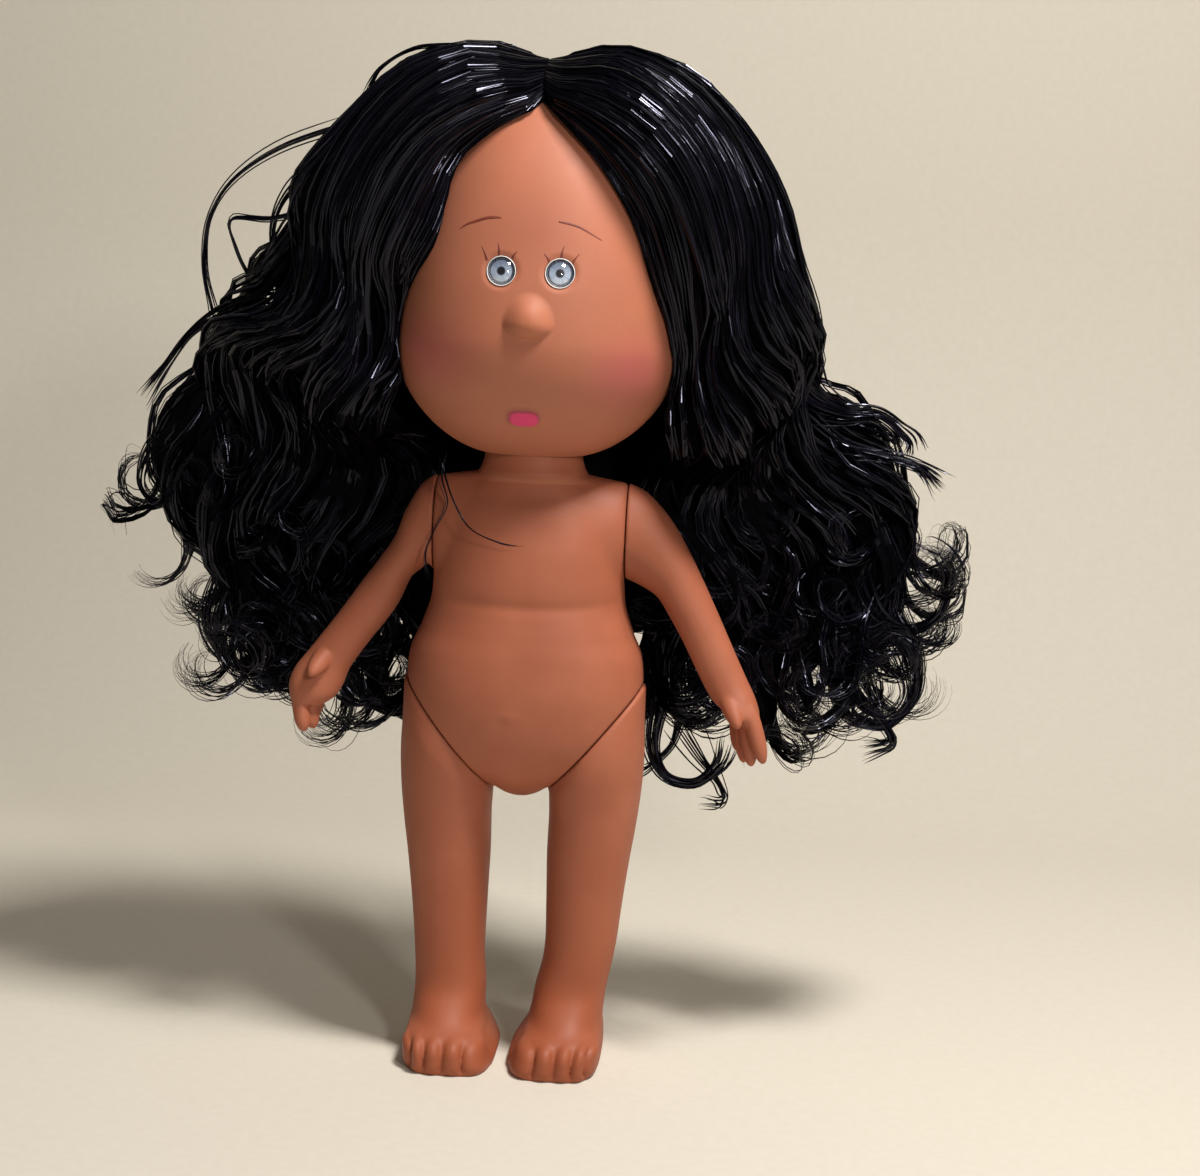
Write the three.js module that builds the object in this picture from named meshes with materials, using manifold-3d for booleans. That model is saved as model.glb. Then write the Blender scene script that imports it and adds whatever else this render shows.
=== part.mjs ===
// A vinyl play doll about 30 cm tall, with a large egg-shaped head, inset eyes, long rooted
// hair and five swivel joints: neck, shoulders and hips. Each limb is a hollow vinyl casting
// held to the torso by a hard plug with a ball on one end and a flange on the other.
// Millimetres, +Z up, the doll faces -Y and stands on Z = 0, with its left side at +X.
import * as THREE from "three";
import { mergeVertices } from "three/addons/utils/BufferGeometryUtils.js";
import Module from "manifold-3d";

const wasm = await Module();
wasm.setup();
const { Manifold } = wasm;

// Driving sizes of the body
const crotchHeight = 81;
const torsoHeight = 94;
const torsoHalfWidth = 35;
const bellyDepth = 24;
const seatDepth = 24.5;
const neckRadius = 14.2;
const neckRise = 12;
const vinylWall = 2.2;
const seamGap = 0.4;
const runningGap = 0.3;
const cutOverrun = 30;

// Driving sizes of the head and face
const headHeight = 107;
const neckInsertion = 5;
const headHalfWidth = 41;
const faceDepth = 38;
const napeDepth = 37;
const noseHalfWidth = 6.4;
const noseHalfHeight = 6;
const noseReach = 7.4;
const eyeSpacing = 16.2;
const eyeRadius = 4;
const irisRadius = 3.3;
const eyeDepth = 5.5;

// Driving sizes of the limbs
const hipSpacing = 42.8;
const hipAboveCrotch = 18.8;
const hipTilt = THREE.MathUtils.degToRad(40);
const legHalfDepth = 18.2;
const footHalfLength = 23.5;
const shoulderX = 28;
const shoulderHalfHeight = 14;
const shoulderHalfDepth = 10.5;
const armLength = 66;
const armHalfDepth = 9.6;
const armLeanForward = 7;

// Driving sizes of the hair
const hairRise = 9;
const hairBesideHead = 39;
const hairInsetFront = 1;
const hairInsetBack = 3;
const hairBehindHead = 8.5;
const hairFlare = 41;
const hairAboveShoulders = 1;
const lockRadius = 20;
const hairClearance = 2.5;
const neckClearance = 4;
const partingGap = 0.4;

// Sizes that follow from the driving ones
const shoulderLine = crotchHeight + torsoHeight;
const neckTop = shoulderLine + neckRise;
const chinHeight = neckTop - neckInsertion;
const headTop = chinHeight + headHeight;
const hairTop = headTop + hairRise;
const hairHalfWidth = headHalfWidth + hairBesideHead;
const hairFrontDepth = faceDepth - hairInsetFront;
const hairBackDepth = napeDepth + hairBehindHead;
const hairSpread = hairHalfWidth + hairFlare;
const hairSplitHeight = shoulderLine + hairAboveShoulders;
const hipX = hipSpacing / 2;
const hipHeight = crotchHeight + hipAboveCrotch;
const shoulderHeight = shoulderLine - shoulderHalfHeight;
const hipCentre = new THREE.Vector3(hipX, 0, hipHeight);
const hipNormal = new THREE.Vector3(Math.cos(hipTilt), 0, -Math.sin(hipTilt));
const shoulderCentre = new THREE.Vector3(shoulderX, 0, shoulderHeight);
const halfGap = seamGap / 2;
const hairFrontLimit = shoulderHalfDepth + hairClearance;

const vinylBody = new THREE.MeshStandardMaterial({ color: 0xb5694b, roughness: 0.5, metalness: 0 });
const vinylHead = new THREE.MeshStandardMaterial({ color: 0xc47554, roughness: 0.5, metalness: 0 });
const plugPlastic = new THREE.MeshStandardMaterial({ color: 0xe6ddd0, roughness: 0.4, metalness: 0 });
const eyeWhite = new THREE.MeshStandardMaterial({ color: 0xf4f4f2, roughness: 0.2, metalness: 0 });
const irisGrey = new THREE.MeshStandardMaterial({ color: 0x8f9db4, roughness: 0.3, metalness: 0 });
const lensClear = new THREE.MeshStandardMaterial({ color: 0xdfe8f2, roughness: 0.05, metalness: 0 });
const hairBlack = new THREE.MeshStandardMaterial({ color: 0x0d0c12, roughness: 0.35, metalness: 0 });

// Closed surfaces and solids

// Skins a list of rings, all with the same number of points, and closes both ends with a fan.
function loft(rings) {
  const around = rings[0].length;
  const positions = rings.flatMap((ring) => ring.flatMap((p) => [p.x, p.y, p.z]));
  const faces = [];
  for (let row = 0; row + 1 < rings.length; row += 1) {
    for (let i = 0; i < around; i += 1) {
      const next = (i + 1) % around;
      const a = row * around + i;
      const b = row * around + next;
      faces.push(a, b, b + around, a, b + around, a + around);
    }
  }
  for (const [row, turned] of [[0, true], [rings.length - 1, false]]) {
    const middle = positions.length / 3;
    const centre = rings[row].reduce((sum, p) => sum.add(p), new THREE.Vector3()).divideScalar(around);
    positions.push(centre.x, centre.y, centre.z);
    for (let i = 0; i < around; i += 1) {
      const a = row * around + i;
      const b = row * around + ((i + 1) % around);
      faces.push(...(turned ? [b, a, middle] : [a, b, middle]));
    }
  }
  const geometry = new THREE.BufferGeometry();
  geometry.setAttribute("position", new THREE.Float32BufferAttribute(positions, 3));
  geometry.setIndex(faces);
  return geometry;
}

function solid(geometry) {
  const bare = geometry.clone();
  bare.deleteAttribute("normal");
  bare.deleteAttribute("uv");
  const merged = mergeVertices(bare, 1e-4);
  const mesh = new wasm.Mesh({
    numProp: 3,
    vertProperties: merged.attributes.position.array,
    triVerts: new Uint32Array(merged.index.array),
  });
  const made = new Manifold(mesh);
  if (made.volume() >= 0) return made;
  const turned = new Uint32Array(merged.index.array).reverse();
  return new Manifold(new wasm.Mesh({ numProp: 3, vertProperties: mesh.vertProperties, triVerts: turned }));
}

function geometryOf(body) {
  const { numProp, vertProperties, triVerts } = body.getMesh();
  const positions = [];
  for (const corner of triVerts) positions.push(...vertProperties.slice(corner * numProp, corner * numProp + 3));
  const geometry = new THREE.BufferGeometry();
  geometry.setAttribute("position", new THREE.Float32BufferAttribute(positions, 3));
  geometry.computeVertexNormals();
  return geometry;
}

// A box between two corners, a ball and a round bar, each as a solid where it stands.
function block(low, high) {
  const size = high.clone().sub(low);
  const middle = high.clone().add(low).divideScalar(2);
  return solid(new THREE.BoxGeometry(size.x, size.y, size.z).translate(middle.x, middle.y, middle.z));
}

function ellipsoid(centre, radii, around = 8, rows = 6) {
  return solid(
    new THREE.SphereGeometry(1, around, rows)
      .scale(radii.x, radii.y, radii.z)
      .translate(centre.x, centre.y, centre.z),
  );
}

// Turns a solid's +Y axis to a direction and moves its origin to a point.
function aim(geometry, direction, point) {
  const turn = new THREE.Quaternion().setFromUnitVectors(new THREE.Vector3(0, 1, 0), direction);
  return geometry.applyQuaternion(turn).translate(point.x, point.y, point.z);
}

function bar(radius, length, direction, start, around = 16) {
  const cylinder = new THREE.CylinderGeometry(radius, radius, length, around).translate(0, length / 2, 0);
  return solid(aim(cylinder, direction, start));
}

// The half of space on the far side of a plane, as a large slab.
function beyond(point, normal) {
  const reach = hairTop + hairSpread;
  const slab = new THREE.BoxGeometry(2 * reach, reach, 2 * reach).translate(0, reach / 2, 0);
  return solid(aim(slab, normal, point));
}

function largestPiece(body) {
  return body.decompose().reduce((best, piece) => (piece.volume() > best.volume() ? piece : best));
}

function mirrored(body) {
  return body.mirror([1, 0, 0]);
}

// Sections: a superellipse whose front and back depths differ

const round = 2;
const torsoSquareness = 2.3;
const headSquareness = 2.2;
const limbSquareness = 2.15;

function superellipse(angle, halfWidth, front, back, power) {
  const c = Math.cos(angle);
  const s = Math.sin(angle);
  const depth = s < 0 ? front : back;
  return [
    Math.sign(c) * Math.abs(c) ** (2 / power) * halfWidth,
    Math.sign(s) * Math.abs(s) ** (2 / power) * depth,
  ];
}

function levelRing({ z, halfWidth, front, back, power }, around) {
  return Array.from({ length: around }, (_, i) => {
    const [x, y] = superellipse((2 * Math.PI * i) / around, halfWidth, front, back, power);
    return new THREE.Vector3(x, y, z);
  });
}

// Reads a table of shares at any height between its first and last row, on a smooth curve.
function between(table, height) {
  const last = table.length - 2;
  let row = 0;
  while (row < last && table[row + 1][0] < height) row += 1;
  const [low, high] = [table[row], table[row + 1]];
  const before = table[Math.max(row - 1, 0)];
  const after = table[Math.min(row + 2, table.length - 1)];
  const t = THREE.MathUtils.clamp((height - low[0]) / (high[0] - low[0]), 0, 1);
  return low.slice(1).map((value, k) => {
    const column = k + 1;
    const slopeIn = ((high[column] - before[column]) / (high[0] - before[0])) * (high[0] - low[0]);
    const slopeOut = ((after[column] - low[column]) / (after[0] - low[0])) * (high[0] - low[0]);
    const cube = 2 * value - 2 * high[column] + slopeIn + slopeOut;
    const square = 3 * high[column] - 3 * value - 2 * slopeIn - slopeOut;
    return ((cube * t + square) * t + slopeIn) * t + value;
  });
}

// Torso

// Height from crotch to shoulder line, then half width, front depth and back depth.
const torsoShares = [
  [0, 0.1, 0.2, 0.2],
  [0.012, 0.17, 0.32, 0.34],
  [0.035, 0.27, 0.48, 0.52],
  [0.07, 0.5, 0.64, 0.7],
  [0.12, 0.78, 0.78, 0.86],
  [0.2, 0.93, 0.92, 0.98],
  [0.33, 0.995, 1, 0.98],
  [0.45, 0.98, 1, 0.84],
  [0.53, 0.895, 0.92, 0.75],
  [0.615, 0.82, 0.84, 0.72],
  [0.7, 0.8, 0.86, 0.76],
  [0.8, 0.785, 0.83, 0.78],
  [0.9, 0.75, 0.72, 0.73],
  [0.96, 0.66, 0.6, 0.66],
  [1, 0.53, 0.53, 0.58],
];

function torsoSection(z, inset = 0) {
  const [width, front, back] = between(torsoShares, (z - crotchHeight) / torsoHeight);
  return {
    z,
    halfWidth: width * torsoHalfWidth - inset,
    front: front * bellyDepth - inset,
    back: back * seatDepth - inset,
    power: torsoSquareness,
  };
}

function neckSection(z, radius) {
  return { z, halfWidth: radius, front: radius, back: radius, power: round };
}

function insideTorso(point) {
  const { halfWidth, front, back, power } = torsoSection(point.z);
  const depth = point.y < 0 ? front : back;
  const reach = (Math.abs(point.x) / halfWidth) ** power + (Math.abs(point.y) / depth) ** power;
  return point.z > crotchHeight && reach < 1;
}

const torsoAround = 26;

function makeTorso() {
  const levels = torsoShares.map(([share]) => crotchHeight + share * torsoHeight);
  const neckLevels = [shoulderLine + neckRise / 3, neckTop];
  const outer = solid(loft([
    ...levels.map((z) => levelRing(torsoSection(z), torsoAround)),
    ...neckLevels.map((z) => levelRing(neckSection(z, neckRadius), torsoAround)),
  ]));
  const innerLevels = levels.filter((z) => z > crotchHeight + 2 * vinylWall && z < shoulderLine - vinylWall);
  const inner = solid(loft([
    ...innerLevels.map((z) => levelRing(torsoSection(z, vinylWall), torsoAround / 2)),
    ...neckLevels.map((z) => {
      const ceiling = Math.min(z, neckTop - vinylWall);
      return levelRing(neckSection(ceiling, neckRadius - vinylWall), torsoAround / 2);
    }),
  ]));
  const sides = [shoulderBoss(), mirrored(shoulderBoss())];
  let body = Manifold.union([outer, ...sides]);
  let hollow = inner;
  for (const side of [1, -1]) {
    const flip = (v) => v.clone().setX(v.x * side);
    const hipOut = flip(hipNormal);
    const hipFace = flip(hipCentre).addScaledVector(hipOut, -halfGap);
    const hipWall = hipFace.clone().addScaledVector(hipOut, -vinylWall);
    const shoulderOut = new THREE.Vector3(side, 0, 0);
    const shoulderFace = flip(shoulderCentre).addScaledVector(shoulderOut, -halfGap);
    const shoulderWall = shoulderFace.clone().addScaledVector(shoulderOut, -vinylWall);
    body = body
      .subtract(beyond(hipFace, hipOut))
      .subtract(beyond(shoulderFace, shoulderOut).intersect(upperBody()));
    hollow = Manifold.union([
      hollow.subtract(beyond(hipWall, hipOut)).subtract(beyond(shoulderWall, shoulderOut)),
      plugPocket(hipPlug, hipWall, hipOut),
      plugPocket(shoulderPlug, shoulderWall, shoulderOut),
    ]);
    body = body
      .subtract(bar(hipPlug.stem + runningGap, cutOverrun, hipOut, hipWall.addScaledVector(hipOut, -vinylWall)))
      .subtract(bar(
        shoulderPlug.stem + runningGap,
        cutOverrun,
        shoulderOut,
        shoulderWall.addScaledVector(shoulderOut, -vinylWall),
      ));
  }
  const neckHole = new THREE.Vector3(0, 0, neckTop - 2 * vinylWall);
  return body
    .subtract(hollow)
    .subtract(bar(neckPlug.stem + runningGap, cutOverrun, new THREE.Vector3(0, 0, 1), neckHole));
}

// The space above the waist, where the shoulder faces are cut.
function upperBody() {
  const floor = shoulderHeight - shoulderHalfHeight - vinylWall;
  return beyond(new THREE.Vector3(0, 0, floor), new THREE.Vector3(0, 0, 1));
}

// How far out along the shoulder each oval of the seat lies, and its size against the seam's.
const bossShares = [[0.55, 1.11], [0.8, 1.05], [1, 1]];

// The raised oval seat that an arm turns against.
function shoulderBoss() {
  const rings = bossShares.map(([along, swell]) => shoulderOval(along * shoulderX, swell, torsoAround / 2));
  return solid(loft(rings));
}

function shoulderOval(x, swell, around) {
  return Array.from({ length: around }, (_, i) => {
    const angle = (2 * Math.PI * i) / around;
    const y = Math.cos(angle) * shoulderHalfDepth * swell;
    const z = shoulderHeight + Math.sin(angle) * shoulderHalfHeight * swell;
    return new THREE.Vector3(x, y, Math.min(z, shoulderLine));
  });
}

// Plugs: a ball inside one part, a stem through both walls, a flange inside the other

const hipPlug = { ball: 7, stem: 4, flange: 8 };
const shoulderPlug = { ball: 5, stem: 2.8, flange: 5.6 };
const neckPlug = { ball: 8, stem: 4.5, flange: 9 };
const flangeThickness = 1.6;
const plugAround = 16;

// The round space behind a torso wall in which a plug's ball turns.
function plugPocket({ ball }, wall, outward) {
  return bar(ball + runningGap, 2 * (ball + runningGap), outward.clone().negate(), wall, plugAround);
}

// The profile runs along the joint axis from the ball, through 0 at the seam, to the flange.
function makePlug({ ball, stem, flange }, seam, direction) {
  const wallEnd = halfGap + vinylWall + runningGap;
  const ballCentre = -wallEnd - Math.sqrt(ball ** 2 - (stem + runningGap) ** 2);
  const startAngle = Math.asin(stem / ball);
  const steps = 6;
  const profile = [];
  for (let i = 0; i <= steps; i += 1) {
    const angle = Math.PI - (Math.PI - startAngle) * (i / steps);
    profile.push(new THREE.Vector2(ball * Math.sin(angle), ballCentre + ball * Math.cos(angle)));
  }
  profile[0].x = 0;
  profile.push(new THREE.Vector2(stem, wallEnd));
  profile.push(new THREE.Vector2(flange, wallEnd));
  profile.push(new THREE.Vector2(flange, wallEnd + flangeThickness));
  profile.push(new THREE.Vector2(0, wallEnd + flangeThickness));
  return solid(aim(new THREE.LatheGeometry(profile, plugAround), direction, seam));
}

// Limbs

// A ring through an outer and an inner edge point in the X-Z plane, with its depths along Y.
function edgeRing({ outer, inner, front, back, y = 0 }, around, inset = 0) {
  const middle = outer.clone().add(inner).divideScalar(2);
  const across = outer.clone().sub(inner);
  const half = across.length() / 2;
  across.normalize();
  return Array.from({ length: around }, (_, i) => {
    const angle = (2 * Math.PI * i) / around;
    const [u, v] = superellipse(angle, half - inset, front - inset, back - inset, limbSquareness);
    return new THREE.Vector3(middle.x + u * across.x, y + v, middle.z + u * across.z);
  });
}

// The edge of the torso in the plane of the hip seam, so that the thigh meets it flush.
function hipRing(around, inset) {
  const outward = new THREE.Vector3(Math.sin(hipTilt), 0, Math.cos(hipTilt));
  return Array.from({ length: around }, (_, i) => {
    const angle = (2 * Math.PI * i) / around;
    const ray = outward.clone().multiplyScalar(Math.cos(angle));
    ray.y = Math.sin(angle);
    let near = 0;
    let far = torsoHalfWidth;
    for (let step = 0; step < 24; step += 1) {
      const middle = (near + far) / 2;
      if (insideTorso(hipCentre.clone().addScaledVector(ray, middle))) near = middle;
      else far = middle;
    }
    return hipCentre.clone().addScaledVector(ray, near - inset);
  });
}

// Outer edge, inner edge (across as a share of the hip spacing, up as a share of the hip
// height), then front and back depths as shares of the thigh's.
const legShares = [
  [0.84, 1.045, 0.197, 0.818, 1.0, 1.02],
  [0.848, 0.94, 0.2, 0.788, 0.94, 0.95],
  [0.838, 0.836, 0.203, 0.752, 0.87, 0.88],
  [0.81, 0.722, 0.201, 0.707, 0.81, 0.82],
  [0.778, 0.622, 0.199, 0.622, 0.755, 0.77],
  [0.738, 0.476, 0.208, 0.476, 0.68, 0.735],
  [0.705, 0.321, 0.213, 0.321, 0.61, 0.665],
  [0.69, 0.226, 0.19, 0.226, 0.615, 0.63],
];

// The foot: height as a share of the ankle height, edges as above, depths as shares of the foot's.
const ankleHeight = 17;
const footShares = [
  [1, 0.692, 0.15, 0.6, 0.56],
  [0.7, 0.695, 0.1, 0.82, 0.63],
  [0.42, 0.7, 0.07, 0.96, 0.7],
  [0.1, 0.7, 0.06, 0.98, 0.72],
  [0, 0.68, 0.08, 0.95, 0.7],
];

// Toes from the big one outwards: across as a share of the hip spacing, reach as a share of
// the foot's half length, then width as a share of the big toe's radius.
const toeShares = [
  [0.13, 1.1, 0.98],
  [0.297, 1.11, 0.82],
  [0.447, 1.07, 0.77],
  [0.572, 1.0, 0.6],
  [0.653, 0.92, 0.5],
];
const toeRadius = 4.6;
const toeLength = 8;
const toeHalfHeight = 6.4;
const soleCut = 2;

function legSections() {
  const upper = legShares.map(([ox, oz, ix, iz, front, back]) => ({
    outer: new THREE.Vector3(ox * hipSpacing, 0, oz * hipHeight),
    inner: new THREE.Vector3(ix * hipSpacing, 0, iz * hipHeight),
    front: front * legHalfDepth,
    back: back * legHalfDepth,
  }));
  const foot = footShares.map(([z, ox, ix, front, back]) => ({
    outer: new THREE.Vector3(ox * hipSpacing, 0, z * ankleHeight),
    inner: new THREE.Vector3(ix * hipSpacing, 0, z * ankleHeight),
    front: front * footHalfLength,
    back: back * footHalfLength,
  }));
  return { upper, foot };
}

function makeLeg() {
  const { upper, foot } = legSections();
  const around = 20;
  const face = hipCentre.clone().addScaledVector(hipNormal, halfGap);
  const skin = solid(loft([hipRing(around, 0), ...[...upper, ...foot].map((s) => edgeRing(s, around))]));
  const hollow = solid(loft([
    hipRing(around / 2, vinylWall),
    ...upper.map((s) => edgeRing(s, around / 2, vinylWall)),
  ]));
  const toes = toeShares.map(([across, reach, width]) => ellipsoid(
    new THREE.Vector3(across * hipSpacing, toeLength - reach * footHalfLength, toeHalfHeight - soleCut),
    new THREE.Vector3(width * toeRadius, toeLength, toeHalfHeight),
    10,
    8,
  ));
  const inward = hipNormal.clone().negate();
  const wallFace = face.clone().addScaledVector(hipNormal, vinylWall);
  const stemStart = face.clone().addScaledVector(hipNormal, -vinylWall);
  return Manifold.union([skin, ...toes])
    .subtract(beyond(face, inward))
    .subtract(hollow.subtract(beyond(wallFace, inward)))
    .subtract(bar(hipPlug.stem + runningGap, 3 * vinylWall, hipNormal, stemStart))
    .intersect(beyond(new THREE.Vector3(0, 0, 0), new THREE.Vector3(0, 0, 1)));
}

// Outer edge, inner edge (across and down from the shoulder centre as shares of the arm length),
// front and back depths as shares of the arm's half depth, and lean as a share of the full lean.
// The right arm hangs closer to the body than the left one.
const armShares = {
  left: [
    [0.09, 0.17, 0.022, -0.218, 1.06, 1.06, 0],
    [0.2, 0.055, 0.085, -0.245, 1.02, 1.02, 0.05],
    [0.288, -0.085, 0.15, -0.285, 0.95, 0.95, 0.14],
    [0.356, -0.21, 0.2, -0.355, 0.86, 0.86, 0.26],
    [0.438, -0.371, 0.27, -0.468, 0.76, 0.76, 0.42],
    [0.513, -0.522, 0.335, -0.588, 0.66, 0.66, 0.6],
    [0.568, -0.63, 0.39, -0.685, 0.64, 0.64, 0.72],
    [0.605, -0.7, 0.44, -0.745, 0.72, 0.7, 0.84],
    [0.628, -0.765, 0.515, -0.79, 0.74, 0.72, 0.95],
    [0.632, -0.82, 0.56, -0.83, 0.6, 0.58, 1],
  ],
  right: [
    [0.07, 0.165, 0.03, -0.19, 1.06, 1.06, 0],
    [0.135, 0.05, 0.06, -0.215, 1.02, 1.02, 0.05],
    [0.18, -0.07, 0.085, -0.235, 0.96, 0.96, 0.12],
    [0.25, -0.18, 0.108, -0.265, 0.88, 0.88, 0.22],
    [0.315, -0.27, 0.15, -0.363, 0.8, 0.8, 0.34],
    [0.375, -0.36, 0.2, -0.444, 0.75, 0.75, 0.46],
    [0.43, -0.44, 0.262, -0.526, 0.7, 0.7, 0.56],
    [0.485, -0.515, 0.318, -0.606, 0.66, 0.66, 0.68],
    [0.54, -0.59, 0.36, -0.675, 0.64, 0.64, 0.78],
    [0.6, -0.67, 0.385, -0.745, 0.66, 0.64, 0.88],
    [0.625, -0.74, 0.42, -0.8, 0.66, 0.64, 0.95],
    [0.618, -0.81, 0.48, -0.84, 0.55, 0.52, 1],
  ],
};

// The thumb and fingers of each hand, from the index backwards: root and tip (across and down
// from the shoulder centre as shares of the arm length, along Y as a share of the arm's half
// depth), then thickness as a share of the left thumb's.
const digitShares = {
  left: [
    [[0.439, -0.629, -0.42], [0.521, -0.788, -0.78], 1],
    [[0.583, -0.742, -0.36], [0.647, -0.945, -0.57], 0.875],
    [[0.568, -0.773, 0], [0.6, -0.97, -0.26], 0.86],
    [[0.545, -0.773, 0.36], [0.568, -0.967, 0.1], 0.84],
    [[0.523, -0.765, 0.68], [0.538, -0.932, 0.47], 0.75],
  ],
  right: [
    [[0.439, -0.576, -0.36], [0.488, -0.655, -0.78], 1.1],
    [[0.576, -0.795, -0.21], [0.548, -0.915, -0.42], 0.89],
    [[0.536, -0.803, 0.05], [0.514, -0.912, -0.1], 0.86],
    [[0.53, -0.795, 0.36], [0.521, -0.905, 0.21], 0.84],
    [[0.508, -0.78, 0.63], [0.508, -0.871, 0.47], 0.75],
  ],
};
const thumbRadius = 2.8;
const digitRows = 8;

function armSections(table) {
  const root = {
    outer: shoulderCentre.clone().add(new THREE.Vector3(halfGap, 0, shoulderHalfHeight)),
    inner: shoulderCentre.clone().add(new THREE.Vector3(halfGap, 0, -shoulderHalfHeight)),
    front: shoulderHalfDepth,
    back: shoulderHalfDepth,
  };
  const edge = (x, z) => new THREE.Vector3(x, 0, z).multiplyScalar(armLength).add(shoulderCentre);
  const rest = table.map(([ox, oz, ix, iz, front, back, lean]) => ({
    outer: edge(ox, oz),
    inner: edge(ix, iz),
    front: front * armHalfDepth,
    back: back * armHalfDepth,
    y: -lean * armLeanForward,
  }));
  return [root, ...rest];
}

// An egg-shaped finger from its root to its tip.
function makeDigit([rootShares, tipShares, thickness]) {
  const place = ([across, up, along]) => new THREE.Vector3(
    across * armLength,
    along * armHalfDepth - armLeanForward,
    up * armLength,
  ).add(shoulderCentre);
  const root = place(rootShares);
  const tip = place(tipShares);
  const radius = thickness * thumbRadius;
  const along = tip.clone().sub(root);
  const ball = new THREE.SphereGeometry(1, digitRows, digitRows)
    .scale(radius, along.length() / 2 + radius, radius);
  return solid(aim(ball, along.normalize(), root.add(tip).divideScalar(2)));
}

function makeArm(name) {
  const around = 16;
  const sections = armSections(armShares[name]);
  const skin = solid(loft(sections.map((s) => edgeRing(s, around))));
  const hollow = solid(loft(sections.slice(0, -4).map((s) => edgeRing(s, around / 2, vinylWall))));
  const digits = digitShares[name].map(makeDigit);
  const outward = new THREE.Vector3(1, 0, 0);
  const wallFace = shoulderCentre.clone().addScaledVector(outward, halfGap + vinylWall);
  const stemStart = shoulderCentre.clone().addScaledVector(outward, -vinylWall);
  return Manifold.union([skin, ...digits])
    .subtract(hollow.intersect(beyond(wallFace, outward)))
    .subtract(bar(shoulderPlug.stem + runningGap, 3 * vinylWall, outward, stemStart));
}

// Head

// Height from chin to crown, then half width, face depth and nape depth.
const headShares = [
  [0, 0.25, 0.24, 0.24],
  [0.006, 0.35, 0.338, 0.335],
  [0.018, 0.46, 0.445, 0.43],
  [0.043, 0.59, 0.57, 0.54],
  [0.085, 0.733, 0.71, 0.675],
  [0.144, 0.867, 0.84, 0.795],
  [0.21, 0.958, 0.935, 0.89],
  [0.282, 1, 0.988, 0.95],
  [0.348, 0.99, 1, 0.99],
  [0.45, 0.96, 0.98, 1],
  [0.552, 0.91, 0.93, 0.99],
  [0.654, 0.835, 0.86, 0.95],
  [0.756, 0.73, 0.76, 0.86],
  [0.847, 0.59, 0.62, 0.71],
  [0.919, 0.43, 0.46, 0.53],
  [0.969, 0.27, 0.29, 0.33],
  [0.993, 0.12, 0.13, 0.15],
  [1, 0.04, 0.04, 0.04],
];

function headSection(z, grow = 0) {
  const [width, front, back] = between(headShares, (z - chinHeight) / headHeight);
  return {
    z,
    halfWidth: width * headHalfWidth + grow,
    front: front * faceDepth + grow,
    back: back * napeDepth + grow,
    power: headSquareness,
  };
}

// The face's depth at a place seen from the front.
function faceAt(x, z) {
  const { halfWidth, front, power } = headSection(z);
  return -front * (1 - (Math.abs(x) / halfWidth) ** power) ** (1 / power);
}

function headBody(grow, around, rows = headShares) {
  const levels = rows.map(([share]) => chinHeight + share * headHeight);
  const rings = levels.map((z, i) => {
    const end = i === 0 ? -grow : i === levels.length - 1 ? grow : 0;
    return levelRing({ ...headSection(z, grow), z: z + end }, around);
  });
  return solid(loft(rings));
}

const headAround = 28;
const headHollowAround = 12;
const eyeHeightShare = 0.502;
const noseHeightShare = 0.382;
const eyeHeight = chinHeight + eyeHeightShare * headHeight;
const noseHeight = chinHeight + noseHeightShare * headHeight;
const eyeX = eyeSpacing / 2;
const eyeSeat = faceAt(eyeX + eyeRadius, eyeHeight);

function makeHead() {
  const recess = neckRadius + 2 * runningGap;
  const up = new THREE.Vector3(0, 0, 1);
  const recessFloor = neckTop + seamGap;
  const below = new THREE.Vector3(0, 0, chinHeight - cutOverrun);
  const hollowRows = headShares.filter(([share]) => {
    const height = share * headHeight;
    return height > vinylWall && height < headHeight - 2 * vinylWall;
  });
  const collar = bar(recess + vinylWall, recessFloor + vinylWall - below.z, up, below);
  const hollow = headBody(-vinylWall, headHollowAround, hollowRows).subtract(collar);
  const nose = ellipsoid(
    new THREE.Vector3(0, faceAt(0, noseHeight), noseHeight),
    new THREE.Vector3(noseHalfWidth, noseReach, noseHalfHeight),
    16,
    10,
  );
  let head = headBody(0, headAround)
    .add(nose)
    .subtract(hollow)
    .subtract(bar(recess, recessFloor - below.z, up, below))
    .subtract(bar(neckPlug.stem + runningGap, 3 * vinylWall, up, new THREE.Vector3(0, 0, neckTop)));
  for (const side of [1, -1]) {
    const front = new THREE.Vector3(side * eyeX, eyeSeat - cutOverrun, eyeHeight);
    head = head.subtract(bar(eyeRadius + runningGap, cutOverrun + eyeDepth, new THREE.Vector3(0, 1, 0), front));
  }
  return head;
}

// Eyes, turned on the Y axis with the pupil towards -Y

const eyeAround = 16;
const lensRise = 1.3;
const irisThickness = 0.6;
const cupLip = 0.45;
const lensSeat = 1;

function eyePiece(points, side, forward) {
  const profile = points.map(([radius, along]) => new THREE.Vector2(radius, along));
  const place = new THREE.Vector3(side * eyeX, eyeSeat - forward, eyeHeight);
  return solid(aim(new THREE.LatheGeometry(profile, eyeAround), new THREE.Vector3(0, -1, 0), place));
}

// A white cup whose lip stands just proud of the face, with a shallow well for the iris.
function makeEyeCup(side) {
  const well = irisRadius + runningGap;
  const rim = eyeRadius;
  const floor = -lensSeat - irisThickness - runningGap;
  return eyePiece([
    [0, -eyeDepth],
    [rim - cupLip, -eyeDepth],
    [rim, -eyeDepth + cupLip],
    [rim, cupLip],
    [(rim + well) / 2, 2 * cupLip],
    [well, cupLip],
    [well, floor],
    [0, floor],
  ], side, 0);
}

function makeIris(side) {
  const back = -lensSeat - irisThickness;
  return eyePiece([[0, back], [irisRadius, back], [irisRadius, -lensSeat], [0, -lensSeat]], side, 0);
}

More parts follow.
